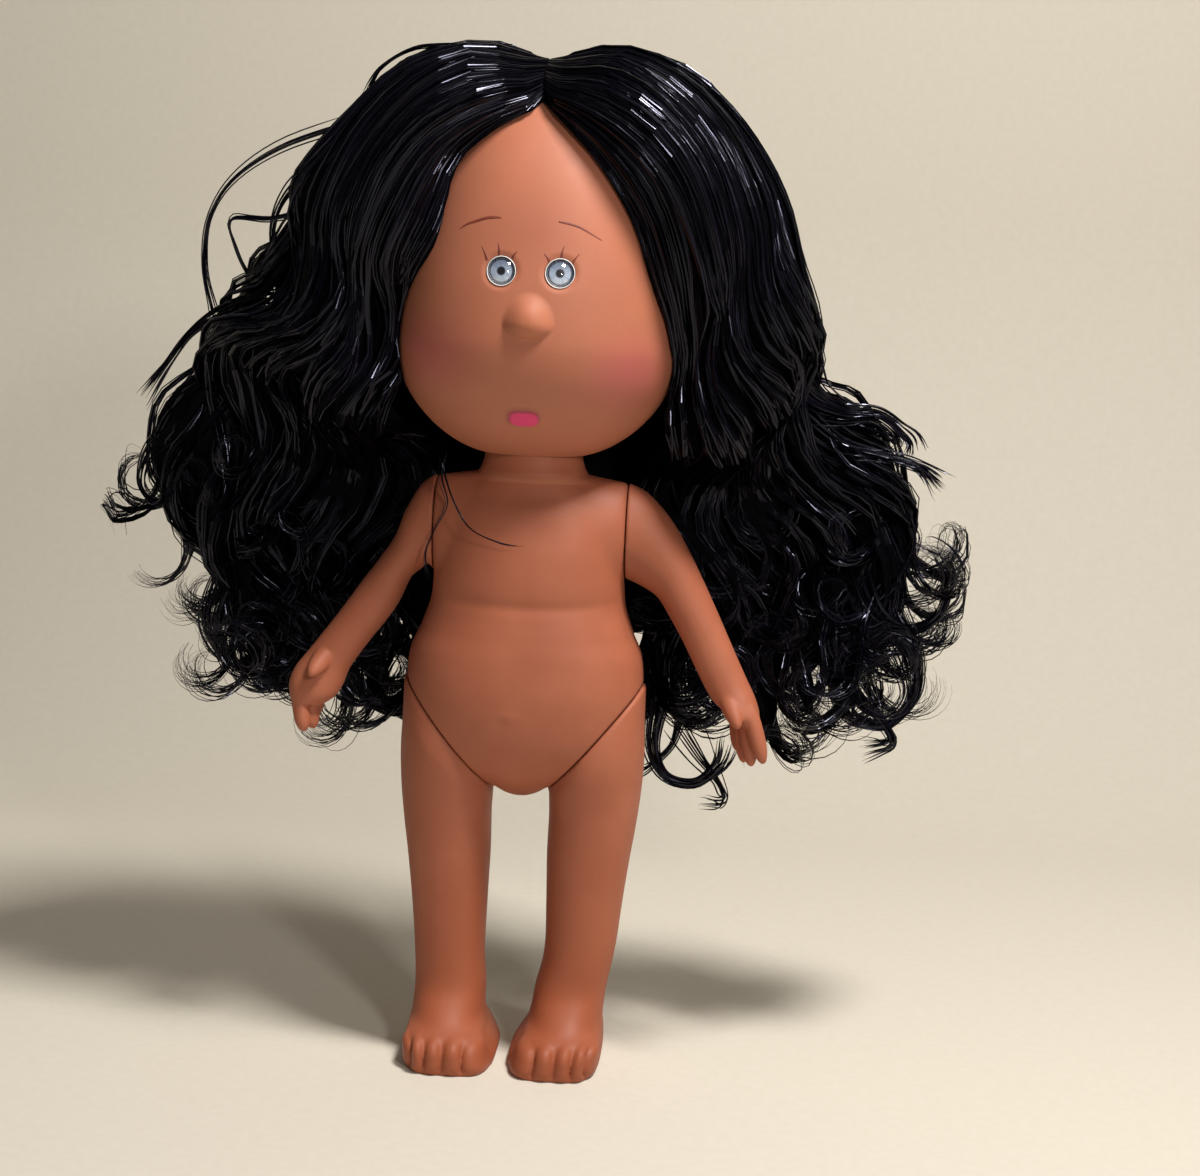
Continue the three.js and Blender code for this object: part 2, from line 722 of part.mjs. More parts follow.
function makeLens(side) {
  const base = -lensSeat + runningGap;
  const steps = 5;
  const profile = [[0, base], [irisRadius, base], [irisRadius, 0]];
  for (let i = 1; i <= steps; i += 1) {
    const angle = (Math.PI / 2) * (i / steps);
    profile.push([i === steps ? 0 : irisRadius * Math.cos(angle), lensRise * Math.sin(angle)]);
  }
  return eyePiece(profile, side, 0);
}

// Hair above the shoulders, which turns with the head

// Height from the split to the crown of the hair, then half width, front depth and back depth.
const hairShares = [
  [0, 0.99, 0.34, 0.98],
  [0.11, 0.99, 0.44, 1],
  [0.25, 0.975, 0.58, 1],
  [0.4, 0.95, 0.75, 1],
  [0.54, 0.91, 0.9, 1],
  [0.65, 0.86, 0.98, 0.99],
  [0.745, 0.79, 1, 0.96],
  [0.83, 0.69, 0.96, 0.88],
  [0.9, 0.56, 0.84, 0.76],
  [0.95, 0.43, 0.68, 0.6],
  [0.985, 0.27, 0.44, 0.38],
  [1, 0.12, 0.2, 0.2],
];
const hairAround = 40;
const waveCount = 9;
const waveDepthShare = 0.028;
const waveTurn = 2.2;
const crownFadeShare = 0.25;

// Lobed rings, so that the mass reads as locks that fall from the parting.
function hairMass() {
  const tall = hairTop - hairSplitHeight;
  const rings = hairShares.map(([share, width, front, back]) => levelRing({
    z: hairSplitHeight + share * tall,
    halfWidth: width * hairHalfWidth,
    front: front * hairFrontDepth,
    back: back * hairBackDepth,
    power: headSquareness,
  }, hairAround).map((p) => {
    const angle = Math.atan2(Math.abs(p.x), p.y);
    const wave = Math.cos(waveCount * angle + waveTurn * Math.sin(Math.PI * share));
    const swell = 1 + wave * waveDepthShare * Math.min(1, (1 - share) / crownFadeShare);
    return p.multiply(new THREE.Vector3(swell, swell, 1));
  }));
  return solid(loft(rings));
}

// The outline of the bare face, from the parting down past the chin: across as a share of the
// head's half width, up as a share of its height.
const faceShares = [
  [0, 0.939],
  [0.134, 0.908],
  [0.305, 0.872],
  [0.451, 0.821],
  [0.561, 0.752],
  [0.629, 0.687],
  [0.683, 0.631],
  [0.756, 0.551],
  [0.854, 0.461],
  [0.927, 0.402],
  [0.976, 0.327],
  [1.01, 0.224],
  [1.01, 0.135],
  [0.97, 0.042],
  [0.9, -0.12],
];
function faceOpening() {
  const half = faceShares.map(([x, z]) => new THREE.Vector2(x * headHalfWidth, chinHeight + z * headHeight));
  const other = half.slice(1).reverse().map((p) => new THREE.Vector2(-p.x, p.y));
  const depth = hairFrontDepth + faceDepth;
  const sheet = new THREE.ExtrudeGeometry(new THREE.Shape([...half, ...other]), { depth, bevelEnabled: false });
  return solid(sheet.rotateX(Math.PI / 2).translate(0, -hairInsetBack, 0));
}

// Locks: flattened tubes with pointed tips along a hand-drawn path

// pathShares: across as a share of the hair's spread, back as a share of its depth, up as a
// share of the split height. widthShares: half width and half depth of the lock's radius.
const lockAround = 8;
const lockSteps = 11;

function lock({ pathShares, widthShares }, grow) {
  const path = new THREE.CatmullRomCurve3(pathShares.map(([x, y, z]) => (
    new THREE.Vector3(x * hairSpread, y * hairBackDepth, z * hairSplitHeight)
  )));
  const widths = new THREE.SplineCurve(widthShares.map(([w, d]) => new THREE.Vector2(w, d)));
  const rings = [];
  for (let step = 0; step <= lockSteps; step += 1) {
    const t = step / lockSteps;
    const centre = path.getPoint(t);
    const along = path.getTangent(t);
    const size = widths.getPoint(t).multiplyScalar(lockRadius).addScalar(grow);
    const across = new THREE.Vector3(0, 1, 0).cross(along).normalize();
    const depthway = along.clone().cross(across).normalize();
    rings.push(Array.from({ length: lockAround }, (_, i) => {
      const angle = (2 * Math.PI * i) / lockAround;
      return centre.clone()
        .addScaledVector(across, Math.cos(angle) * size.x)
        .addScaledVector(depthway, Math.sin(angle) * size.y);
    }));
  }
  return solid(loft(rings));
}

// Locks of the upper hair that stand out beside the head.
const upperLocks = {
  left: [
    { pathShares: [[0.56, 0.3, 1.22], [0.66, 0.32, 1.17], [0.77, 0.34, 1.135], [0.865, 0.36, 1.12]],
      widthShares: [[0.45, 0.4], [0.4, 0.35], [0.325, 0.275], [0.125, 0.125]] },
    { pathShares: [[0.5, 0.5, 1.2], [0.62, 0.54, 1.13], [0.68, 0.56, 1.06], [0.7, 0.58, 0.97]],
      widthShares: [[0.45, 0.6], [0.65, 0.75], [0.8, 0.8], [0.95, 0.8]] },
  ],
  right: [
    { pathShares: [[-0.5, 0.4, 1.3], [-0.64, 0.42, 1.25], [-0.78, 0.44, 1.19], [-0.86, 0.46, 1.1], [-0.87, 0.5, 0.98]],
      widthShares: [[0.4, 0.45], [0.55, 0.6], [0.7, 0.75], [0.75, 0.8], [0.75, 0.8]] },
    { pathShares: [[-0.45, 0.5, 1.2], [-0.62, 0.52, 1.15], [-0.7, 0.54, 1.06], [-0.72, 0.56, 0.97]],
      widthShares: [[0.5, 0.6], [0.65, 0.75], [0.75, 0.85], [0.75, 0.85]] },
  ],
};

// Locks below the split, which lie on the back and behind the arms.
const lowerLocks = {
  hair_wave_left: [
    { pathShares: [[0.5, 0.6, 1.03], [0.62, 0.62, 0.97], [0.76, 0.62, 0.925], [0.88, 0.6, 0.955], [0.955, 0.56, 1.0]],
      widthShares: [[0.6, 0.5], [0.55, 0.5], [0.45, 0.4], [0.3, 0.3], [0.11, 0.125]] },
  ],
  hair_outer_left: [
    { pathShares: [[0.66, 0.62, 1.03], [0.7, 0.64, 0.93], [0.77, 0.64, 0.83], [0.81, 0.62, 0.74], [0.8, 0.6, 0.66],
        [0.74, 0.58, 0.6], [0.64, 0.58, 0.585]],
      widthShares: [[0.95, 0.75], [1, 0.75], [1, 0.75], [0.9, 0.7], [0.75, 0.6], [0.5, 0.45], [0.2, 0.25]] },
    { pathShares: [[0.76, 0.6, 0.86], [0.87, 0.58, 0.8], [0.95, 0.56, 0.8], [0.99, 0.55, 0.87]],
      widthShares: [[0.45, 0.45], [0.35, 0.35], [0.25, 0.25], [0.09, 0.1]] },
  ],
  hair_inner_left: [
    { pathShares: [[0.4, 0.72, 1.02], [0.46, 0.74, 0.88], [0.52, 0.7, 0.76], [0.58, 0.66, 0.66], [0.68, 0.62, 0.58]],
      widthShares: [[0.85, 0.6], [0.85, 0.65], [0.8, 0.65], [0.65, 0.55], [0.35, 0.35]] },
  ],
  hair_hip_curl_left: [
    { pathShares: [[0.34, 0.78, 0.92], [0.36, 0.8, 0.76], [0.35, 0.8, 0.6], [0.37, 0.78, 0.5], [0.43, 0.74, 0.455],
        [0.5, 0.72, 0.49]],
      widthShares: [[0.55, 0.45], [0.55, 0.45], [0.5, 0.425], [0.4, 0.375], [0.275, 0.275], [0.1, 0.125]] },
  ],
  hair_outer_right: [
    { pathShares: [[-0.78, 0.62, 1.03], [-0.85, 0.64, 0.92], [-0.84, 0.64, 0.81], [-0.79, 0.62, 0.71],
        [-0.71, 0.6, 0.63], [-0.6, 0.58, 0.6]],
      widthShares: [[0.9, 0.8], [0.85, 0.8], [0.8, 0.75], [0.7, 0.65], [0.5, 0.5], [0.225, 0.25]] },
  ],
  hair_middle_right: [
    { pathShares: [[-0.56, 0.62, 1.02], [-0.6, 0.66, 0.88], [-0.6, 0.66, 0.75], [-0.55, 0.62, 0.63]],
      widthShares: [[0.85, 0.7], [0.9, 0.75], [0.8, 0.7], [0.4, 0.4]] },
  ],
  hair_inner_right: [
    { pathShares: [[-0.36, 0.76, 1.02], [-0.38, 0.78, 0.86], [-0.4, 0.78, 0.72], [-0.43, 0.76, 0.6], [-0.4, 0.74, 0.53],
        [-0.33, 0.74, 0.53]],
      widthShares: [[0.75, 0.5], [0.75, 0.5], [0.65, 0.5], [0.5, 0.425], [0.35, 0.35], [0.15, 0.175]] },
  ],
  hair_back_left: [
    { pathShares: [[0.1, 0.8, 1.02], [0.13, 0.83, 0.86], [0.12, 0.84, 0.7], [0.15, 0.8, 0.56]],
      widthShares: [[0.85, 0.45], [0.85, 0.425], [0.75, 0.4], [0.4, 0.3]] },
  ],
  hair_back_right: [
    { pathShares: [[-0.13, 0.8, 1.02], [-0.14, 0.83, 0.86], [-0.16, 0.84, 0.7], [-0.14, 0.8, 0.56]],
      widthShares: [[0.85, 0.45], [0.85, 0.425], [0.75, 0.4], [0.4, 0.3]] },
  ],
};

function locksOf(list, grow = 0) {
  return Manifold.union(list.map((shares) => lock(shares, grow)));
}

// A box of space between two heights and depths on one side of the parting.
function zone(side, [lowZ, highZ], [lowY, highY]) {
  const reach = hairSpread + cutOverrun;
  const [near, far] = [side * partingGap / 2, side * reach].sort((a, b) => a - b);
  return block(new THREE.Vector3(near, lowY, lowZ), new THREE.Vector3(far, highY, highZ));
}

const crownHeightShare = 0.593;
const sideBackShare = 0.42;

function upperHair() {
  const nodes = {};
  const crownLine = chinHeight + crownHeightShare * headHeight;
  const sideLine = sideBackShare * hairBackDepth;
  const floor = hairSplitHeight + halfGap;
  const reach = hairTop + cutOverrun;
  const gap = seamGap / 2;
  const column = bar(neckRadius + neckClearance, neckTop, new THREE.Vector3(0, 0, 1), new THREE.Vector3());
  const skull = headBody(runningGap, headAround);
  for (const [name, side] of [["left", 1], ["right", -1]]) {
    const standing = locksOf(upperLocks[name]);
    const whole = hairMass().add(standing).subtract(skull).subtract(column).subtract(faceOpening());
    const zones = {
      hair_crown: zone(side, [crownLine + gap, reach], [-reach, reach]),
      hair_side: zone(side, [floor, crownLine - gap], [-reach, sideLine - gap]),
      hair_nape: zone(side, [floor, crownLine - gap], [sideLine + gap, reach]),
    };
    for (const [part, space] of Object.entries(zones)) {
      nodes[`${part}_${name}`] = largestPiece(whole.intersect(space));
    }
  }
  return nodes;
}

// Each lower lock gives way to the ones before it and to the body, with a running gap.
function lowerHair(bodyParts) {
  const nodes = {};
  const ceiling = beyond(new THREE.Vector3(0, 0, hairSplitHeight - halfGap), new THREE.Vector3(0, 0, 1));
  const front = beyond(new THREE.Vector3(0, hairFrontLimit, 0), new THREE.Vector3(0, -1, 0));
  const behind = beyond(new THREE.Vector3(0, hairBackDepth, 0), new THREE.Vector3(0, 1, 0));
  const placed = [];
  for (const [name, locks] of Object.entries(lowerLocks)) {
    let body = locksOf(locks).subtract(Manifold.union([ceiling, front, behind, bodyParts]));
    for (const earlier of placed) body = body.subtract(earlier);
    nodes[name] = largestPiece(body);
    placed.push(locksOf(locks, runningGap));
  }
  return nodes;
}

const thighAround = 20;

// The torso and the space that the thighs sweep, grown by the hair's clearance.
function bodyClearance() {
  const levels = torsoShares.slice(2).map(([share]) => crotchHeight + share * torsoHeight);
  const rings = levels.map((z) => levelRing(torsoSection(z, -runningGap), torsoAround));
  const thighs = [1, -1].map((side) => {
    const centre = hipCentre.clone().setX(side * hipX);
    const sweep = new THREE.Vector3(hipX + runningGap, seatDepth + hairClearance, hipX);
    return ellipsoid(centre, sweep, thighAround, thighAround / 2);
  });
  return Manifold.union([solid(loft(rings)), ...thighs]);
}

// Assembly

const doll = new THREE.Group();

function addNode(name, body, material) {
  const mesh = new THREE.Mesh(geometryOf(body), material);
  mesh.name = name;
  doll.add(mesh);
}

addNode("torso", makeTorso(), vinylBody);
addNode("head", makeHead(), vinylHead);
addNode("neck_plug", makePlug(neckPlug, new THREE.Vector3(0, 0, neckTop + halfGap), new THREE.Vector3(0, 0, -1)),
  plugPlastic);

for (const [name, side] of [["left", 1], ["right", -1]]) {
  const place = (body) => (side > 0 ? body : mirrored(body));
  addNode(`arm_${name}`, place(makeArm(name)), vinylBody);
  addNode(`leg_${name}`, place(makeLeg()), vinylBody);
  addNode(`shoulder_plug_${name}`, place(makePlug(shoulderPlug, shoulderCentre, new THREE.Vector3(1, 0, 0))),
    plugPlastic);
  addNode(`hip_plug_${name}`, place(makePlug(hipPlug, hipCentre, hipNormal)), plugPlastic);
  addNode(`eye_cup_${name}`, makeEyeCup(side), eyeWhite);
  addNode(`eye_iris_${name}`, makeIris(side), irisGrey);
  addNode(`eye_lens_${name}`, makeLens(side), lensClear);
}

const hairNodes = { ...upperHair(), ...lowerHair(bodyClearance()) };
for (const [name, body] of Object.entries(hairNodes)) addNode(name, body, hairBlack);

export default doll;
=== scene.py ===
"""A vinyl play doll with long wavy rooted hair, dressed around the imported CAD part.

Shapes are worked out in millimetres, +Z up, the doll facing -Y, and put into meshes in metres.
"""
import math

import bmesh
import bpy
import numpy as np
from mathutils import Matrix, Vector


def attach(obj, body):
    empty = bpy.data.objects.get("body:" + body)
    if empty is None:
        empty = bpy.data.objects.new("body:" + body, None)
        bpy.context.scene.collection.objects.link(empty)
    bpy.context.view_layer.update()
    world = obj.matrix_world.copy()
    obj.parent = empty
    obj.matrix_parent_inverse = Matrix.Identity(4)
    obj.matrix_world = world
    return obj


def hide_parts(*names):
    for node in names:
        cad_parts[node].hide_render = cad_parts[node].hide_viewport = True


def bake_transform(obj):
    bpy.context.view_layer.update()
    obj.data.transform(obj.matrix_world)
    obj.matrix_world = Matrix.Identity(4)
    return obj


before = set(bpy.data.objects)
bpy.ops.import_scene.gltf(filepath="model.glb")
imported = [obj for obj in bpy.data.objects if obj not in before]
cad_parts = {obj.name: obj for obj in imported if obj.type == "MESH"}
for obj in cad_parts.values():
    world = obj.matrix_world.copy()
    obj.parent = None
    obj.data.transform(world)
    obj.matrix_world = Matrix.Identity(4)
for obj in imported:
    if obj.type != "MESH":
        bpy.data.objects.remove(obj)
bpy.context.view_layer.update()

MM = 0.001
RNG = np.random.default_rng(41)

SIDES = (("left", 1), ("right", -1))

# Sizes shared with the CAD model

CROTCH = 81.0
TORSO_HEIGHT = 94.0
TORSO_HALF_WIDTH = 35.0
BELLY_DEPTH = 24.0
SEAT_DEPTH = 24.5
NECK_RADIUS = 14.2
NECK_TOP = 187.0
CHIN = 182.0
HEAD_HEIGHT = 107.0
HEAD_HALF_WIDTH = 41.0
FACE_DEPTH = 38.0
NAPE_DEPTH = 37.0
EYE_X = 8.1
EYE_Z = CHIN + 0.502 * HEAD_HEIGHT
EYE_RADIUS = 4.0
NOSE_Z = CHIN + 0.382 * HEAD_HEIGHT
HIP_SPACING = 42.8
HIP_CENTRE = np.array([21.4, 0.0, 99.8])
HIP_TILT = math.radians(40)
HIP_NORMAL = np.array([math.cos(HIP_TILT), 0.0, -math.sin(HIP_TILT)])
LEG_HALF_DEPTH = 18.2
FOOT_HALF_LENGTH = 23.5
ANKLE = 17.0
SHOULDER = np.array([28.0, 0.0, 161.0])
SHOULDER_HALF_HEIGHT = 14.0
SHOULDER_HALF_DEPTH = 10.5
ARM_LENGTH = 66.0
ARM_HALF_DEPTH = 9.6
ARM_LEAN = 7.0
SEAM_GAP = 0.26
HAIR_SPLIT = 176.0
HAIR_TOP = 298.0
HAIR_HALF_WIDTH = 80.0
HAIR_FRONT = 37.0
HAIR_BACK = 45.5

# Half width, front depth and back depth
TORSO_SIZES = np.array([TORSO_HALF_WIDTH, BELLY_DEPTH, SEAT_DEPTH])
HEAD_SIZES = np.array([HEAD_HALF_WIDTH, FACE_DEPTH, NAPE_DEPTH])
HAIR_SIZES = np.array([HAIR_HALF_WIDTH, HAIR_FRONT, HAIR_BACK])

TORSO_POWER = 2.3
HEAD_POWER = 2.2
LIMB_POWER = 2.15
FOOT_POWER = 3.8

# Height from crotch to shoulder line, then half width, front depth and back depth, as shares.
TORSO_SHARES = np.array([
    (0.000, 0.10, 0.20, 0.20), (0.012, 0.17, 0.32, 0.34), (0.035, 0.27, 0.48, 0.52),
    (0.070, 0.50, 0.64, 0.70), (0.120, 0.78, 0.78, 0.86), (0.200, 0.93, 0.92, 0.98),
    (0.330, 0.995, 1.00, 0.98), (0.450, 0.98, 0.985, 0.84), (0.530, 0.895, 0.935, 0.75),
    (0.615, 0.82, 0.875, 0.72), (0.700, 0.80, 0.865, 0.76), (0.800, 0.785, 0.82, 0.78),
    (0.900, 0.75, 0.72, 0.73), (0.960, 0.66, 0.60, 0.66), (1.000, 0.53, 0.53, 0.58),
])
# Height from chin to crown, then half width, face depth and nape depth, as shares.
HEAD_SHARES = np.array([
    (0.000, 0.25, 0.24, 0.24), (0.006, 0.35, 0.338, 0.335), (0.018, 0.46, 0.445, 0.43),
    (0.043, 0.59, 0.57, 0.54), (0.085, 0.733, 0.71, 0.675), (0.144, 0.867, 0.84, 0.795),
    (0.210, 0.958, 0.935, 0.89), (0.282, 1.00, 0.988, 0.95), (0.348, 0.99, 1.00, 0.99),
    (0.450, 0.96, 0.98, 1.00), (0.552, 0.91, 0.93, 0.99), (0.654, 0.835, 0.86, 0.95),
    (0.756, 0.73, 0.76, 0.86), (0.847, 0.59, 0.62, 0.71), (0.919, 0.43, 0.46, 0.53),
    (0.969, 0.27, 0.29, 0.33), (0.993, 0.12, 0.13, 0.15), (1.000, 0.04, 0.04, 0.04),
])
# Height from the split to the crown of the hair, then half width, front and back depths.
HAIR_SHARES = np.array([
    (0.00, 0.99, 0.34, 0.98), (0.11, 0.99, 0.44, 1.00), (0.25, 0.975, 0.58, 1.00),
    (0.40, 0.95, 0.75, 1.00), (0.54, 0.91, 0.90, 1.00), (0.65, 0.86, 0.98, 0.99),
    (0.745, 0.79, 1.00, 0.96), (0.83, 0.69, 0.96, 0.88), (0.90, 0.56, 0.84, 0.76),
    (0.95, 0.43, 0.68, 0.60), (0.985, 0.27, 0.44, 0.38), (1.00, 0.12, 0.20, 0.20),
])
# Outer edge and inner edge (across by hip spacing, up by hip height), front and back depths.
LEG_SHARES = np.array([
    (0.84, 1.045, 0.197, 0.818, 1.00, 1.02), (0.848, 0.94, 0.20, 0.788, 0.94, 0.95),
    (0.838, 0.836, 0.203, 0.752, 0.87, 0.88), (0.81, 0.722, 0.201, 0.707, 0.81, 0.82),
    (0.778, 0.622, 0.199, 0.622, 0.755, 0.77), (0.738, 0.476, 0.208, 0.476, 0.68, 0.735),
    (0.705, 0.321, 0.213, 0.321, 0.61, 0.665), (0.69, 0.226, 0.19, 0.226, 0.615, 0.63),
])
# Height by ankle height, outer and inner edge by hip spacing, front and back by foot length.
FOOT_SHARES = np.array([
    (1.00, 0.692, 0.188, 0.60, 0.56), (0.74, 0.70, 0.178, 0.80, 0.63), (0.56, 0.71, 0.162, 0.99, 0.68),
    (0.40, 0.72, 0.128, 1.09, 0.71), (0.14, 0.725, 0.078, 1.11, 0.72), (0.00, 0.70, 0.09, 1.06, 0.70),
])
# Edges of the toes from the inside outwards, by hip spacing.
TOE_EDGE_SHARES = np.array([0.06, 0.275, 0.42, 0.545, 0.648, 0.745])
TOE_GROOVE = 2.4
TOE_SWELL = 0.7
TOE_KNUCKLE = 11.0
# How much nearer the middle each foot stands than the tables say.
FOOT_SHIFT = {"left": 3.5, "right": -0.6}
# Outer and inner edge from the shoulder by arm length, front and back depths, lean.
ARM_SHARES = {
    "left": np.array([
        (0.09, 0.17, 0.022, -0.218, 1.06, 1.06, 0.0), (0.20, 0.055, 0.085, -0.245, 1.02, 1.02, 0.05),
        (0.288, -0.085, 0.15, -0.285, 0.95, 0.95, 0.14), (0.356, -0.21, 0.20, -0.355, 0.86, 0.86, 0.26),
        (0.438, -0.371, 0.27, -0.468, 0.76, 0.76, 0.42), (0.513, -0.522, 0.335, -0.588, 0.66, 0.66, 0.60),
        (0.568, -0.63, 0.39, -0.685, 0.64, 0.64, 0.72), (0.605, -0.70, 0.44, -0.745, 0.72, 0.70, 0.84),
        (0.628, -0.765, 0.515, -0.79, 0.74, 0.72, 0.95), (0.632, -0.82, 0.56, -0.83, 0.60, 0.58, 1.0),
    ]),
    "right": np.array([
        (0.07, 0.165, 0.03, -0.19, 1.06, 1.06, 0.0), (0.135, 0.05, 0.06, -0.215, 1.02, 1.02, 0.05),
        (0.18, -0.07, 0.085, -0.235, 0.96, 0.96, 0.12), (0.25, -0.18, 0.108, -0.265, 0.88, 0.88, 0.22),
        (0.315, -0.27, 0.15, -0.363, 0.80, 0.80, 0.34), (0.375, -0.36, 0.20, -0.444, 0.75, 0.75, 0.46),
        (0.43, -0.44, 0.262, -0.526, 0.70, 0.70, 0.56), (0.485, -0.515, 0.318, -0.606, 0.66, 0.66, 0.68),
        (0.54, -0.59, 0.36, -0.675, 0.64, 0.64, 0.78), (0.60, -0.67, 0.385, -0.745, 0.66, 0.64, 0.88),
        (0.625, -0.74, 0.42, -0.80, 0.66, 0.64, 0.95), (0.618, -0.81, 0.48, -0.84, 0.55, 0.52, 1.0),
    ]),
}
# Thumb, then fingers from the index backwards: root and tip (across and up by arm length, along Y
# by half depth), then thickness by the thumb's radius.
DIGIT_SHARES = {
    "left": (((0.425, -0.575, 0.75), (0.524, -0.785, -0.72), 1.12),
             ((0.583, -0.742, -0.36), (0.647, -0.945, -0.57), 0.875),
             ((0.568, -0.773, 0.0), (0.60, -0.97, -0.26), 0.86),
             ((0.545, -0.773, 0.36), (0.568, -0.967, 0.10), 0.84),
             ((0.523, -0.765, 0.68), (0.538, -0.932, 0.47), 0.75)),
    "right": (((0.385, -0.505, 1.10), (0.492, -0.655, -0.74), 1.2),
              ((0.576, -0.795, -0.21), (0.548, -0.915, -0.42), 0.89),
              ((0.536, -0.803, 0.05), (0.514, -0.912, -0.10), 0.86),
              ((0.53, -0.795, 0.36), (0.521, -0.905, 0.21), 0.84),
              ((0.508, -0.78, 0.63), (0.508, -0.871, 0.47), 0.75)),
}
THUMB_RADIUS = 2.8


# Camera, fitted to the photograph: 3 degrees to the doll's left, 9 up, rolled 2.5

PICTURE_WIDTH, PICTURE_HEIGHT = 1200.0, 1176.0
CAMERA_AZIMUTH, CAMERA_ELEVATION, CAMERA_ROLL = (math.radians(a) for a in (3.0, 9.0, 2.5))
CAMERA_DISTANCE = 700.0
PIXELS_PER_MM = 3.40
AIM_HEIGHT = 150.0
AIM_PIXEL = (530.0, 563.0)
SENSOR_WIDTH = 36.0


def make_camera():
    """Turns the view axis by azimuth and elevation, rolls it, and shifts the aim sideways."""
    azimuth, elevation, roll = CAMERA_AZIMUTH, CAMERA_ELEVATION, CAMERA_ROLL
    back = Vector((math.sin(azimuth) * math.cos(elevation),
                   -math.cos(azimuth) * math.cos(elevation), math.sin(elevation)))
    level = (-back).cross(Vector((0, 0, 1))).normalized()
    upright = level.cross(-back)
    right = math.cos(roll) * level + math.sin(roll) * upright
    up = -math.sin(roll) * level + math.cos(roll) * upright
    aim = Vector((0, 0, AIM_HEIGHT))
    aim += right * ((PICTURE_WIDTH / 2 - AIM_PIXEL[0]) / PIXELS_PER_MM)
    aim -= up * ((PICTURE_HEIGHT / 2 - AIM_PIXEL[1]) / PIXELS_PER_MM)
    place = (aim + back * CAMERA_DISTANCE) * MM
    data = bpy.data.cameras.new("camera")
    data.sensor_fit = "HORIZONTAL"
    data.sensor_width = SENSOR_WIDTH
    data.lens = PIXELS_PER_MM * CAMERA_DISTANCE / PICTURE_WIDTH * SENSOR_WIDTH
    data.clip_start = 0.01
    camera = bpy.data.objects.new("camera", data)
    turned = Matrix((right, up, back)).transposed().to_4x4()
    camera.matrix_world = Matrix.Translation(place) @ turned
    bpy.context.scene.collection.objects.link(camera)
    bpy.context.scene.camera = camera


# Meshes from arrays

def make_mesh(name, points, faces, material, uv=None, smooth=True):
    """Puts points (n, 3) in mm and a list of face arrays into one mesh object."""
    mesh = bpy.data.meshes.new(name)
    points = np.asarray(points, float)
    mesh.vertices.add(len(points))
    mesh.vertices.foreach_set("co", (points * MM).astype(np.float32).ravel())
    corners = np.concatenate([f.ravel() for f in faces]).astype(np.int32)
    sizes = np.concatenate([np.full(len(f), f.shape[1]) for f in faces])
    starts = np.concatenate([[0], np.cumsum(sizes)[:-1]]).astype(np.int32)
    mesh.loops.add(len(corners))
    mesh.loops.foreach_set("vertex_index", corners)
    mesh.polygons.add(len(sizes))
    mesh.polygons.foreach_set("loop_start", starts)
    mesh.polygons.foreach_set("use_smooth", np.full(len(sizes), smooth))
    mesh.update(calc_edges=True)
    if uv is not None:
        layer = mesh.uv_layers.new(name="strand")
        layer.data.foreach_set("uv", np.asarray(uv, np.float32)[corners].ravel())
    mesh.materials.append(material)
    piece = bpy.data.objects.new(name, mesh)
    bpy.context.scene.collection.objects.link(piece)
    return piece


def curve_weights(count, places):
    """Catmull-Rom weights that carry count control values to places in 0..1."""
    spot = np.clip(np.asarray(places, float), 0, 1) * (count - 1)
    low = np.minimum(spot.astype(int), count - 2)
    f = spot - low
    rows = np.arange(len(spot))
    weights = np.zeros((len(spot), count))
    terms = ((-1, (-f + 2 * f**2 - f**3) / 2), (0, (2 - 5 * f**2 + 3 * f**3) / 2),
             (1, (f + 4 * f**2 - 3 * f**3) / 2), (2, (-f**2 + f**3) / 2))
    for offset, value in terms:
        np.add.at(weights, (rows, np.clip(low + offset, 0, count - 1)), value)
    return weights


def smooth_table(table, rows):
    """The table or path at rows even places along a Catmull-Rom curve through its points."""
    return curve_weights(len(table), np.linspace(0, 1, rows)) @ table


def smooth_rings(rings, rows):
    """Rings at rows even places along the curves through the given rings."""
    weights = curve_weights(len(rings), np.linspace(0, 1, rows))
    return np.einsum("rk,kac->rac", weights, rings)


def section_at(table, share, sizes, rows):
    """Half width, front and back depth at shares of a table's height, on its smooth curve."""
    table = smooth_table(table, rows)
    return [np.interp(share, table[:, 0], table[:, k]) * size for k, size in enumerate(sizes, 1)]


def full_turn(count):
    """Angles of count even steps round a circle."""
    return np.linspace(0, 2 * math.pi, count, endpoint=False)


def superellipse(angles, half_width, front, back, power):
    """x = sign(cos) |cos|^(2/p) w and y = sign(sin) |sin|^(2/p) d, d front or back of the axis."""
    c, s = np.cos(angles), np.sin(angles)
    depth = np.where(s < 0, front, back)
    x = np.sign(c) * np.abs(c) ** (2 / power) * half_width
    y = np.sign(s) * np.abs(s) ** (2 / power) * depth
    return x, y


def reach_in(x, y, half_width, front, back, power):
    """|x/w|^p + |y/d|^p, which is 1 on the superellipse and less within it."""
    depth = np.where(y < 0, front, back)
    return (np.abs(x) / half_width) ** power + (np.abs(y) / depth) ** power


def loft_faces(rows, around):
    """Quads between closed rings, and a fan of triangles on each end about an added centre."""
    a = np.arange(rows - 1)[:, None] * around + np.arange(around)
    b = np.arange(rows - 1)[:, None] * around + (np.arange(around) + 1) % around
    quads = np.stack([a, b, b + around, a + around], -1).reshape(-1, 4)
    i = np.arange(around)
    j = (i + 1) % around
    first, last = rows * around, rows * around + 1
    top = (rows - 1) * around
    fans = np.concatenate([np.stack([j, i, np.full(around, first)], -1),
                           np.stack([i + top, j + top, np.full(around, last)], -1)])
    return [quads, fans]


def capped(rings):
    """Points of rings (rows, around, 3) with a centre added for each end, and their faces."""
    centres = np.stack([rings[0].mean(0), rings[-1].mean(0)])
    return np.concatenate([rings.reshape(-1, 3), centres]), loft_faces(*rings.shape[:2])


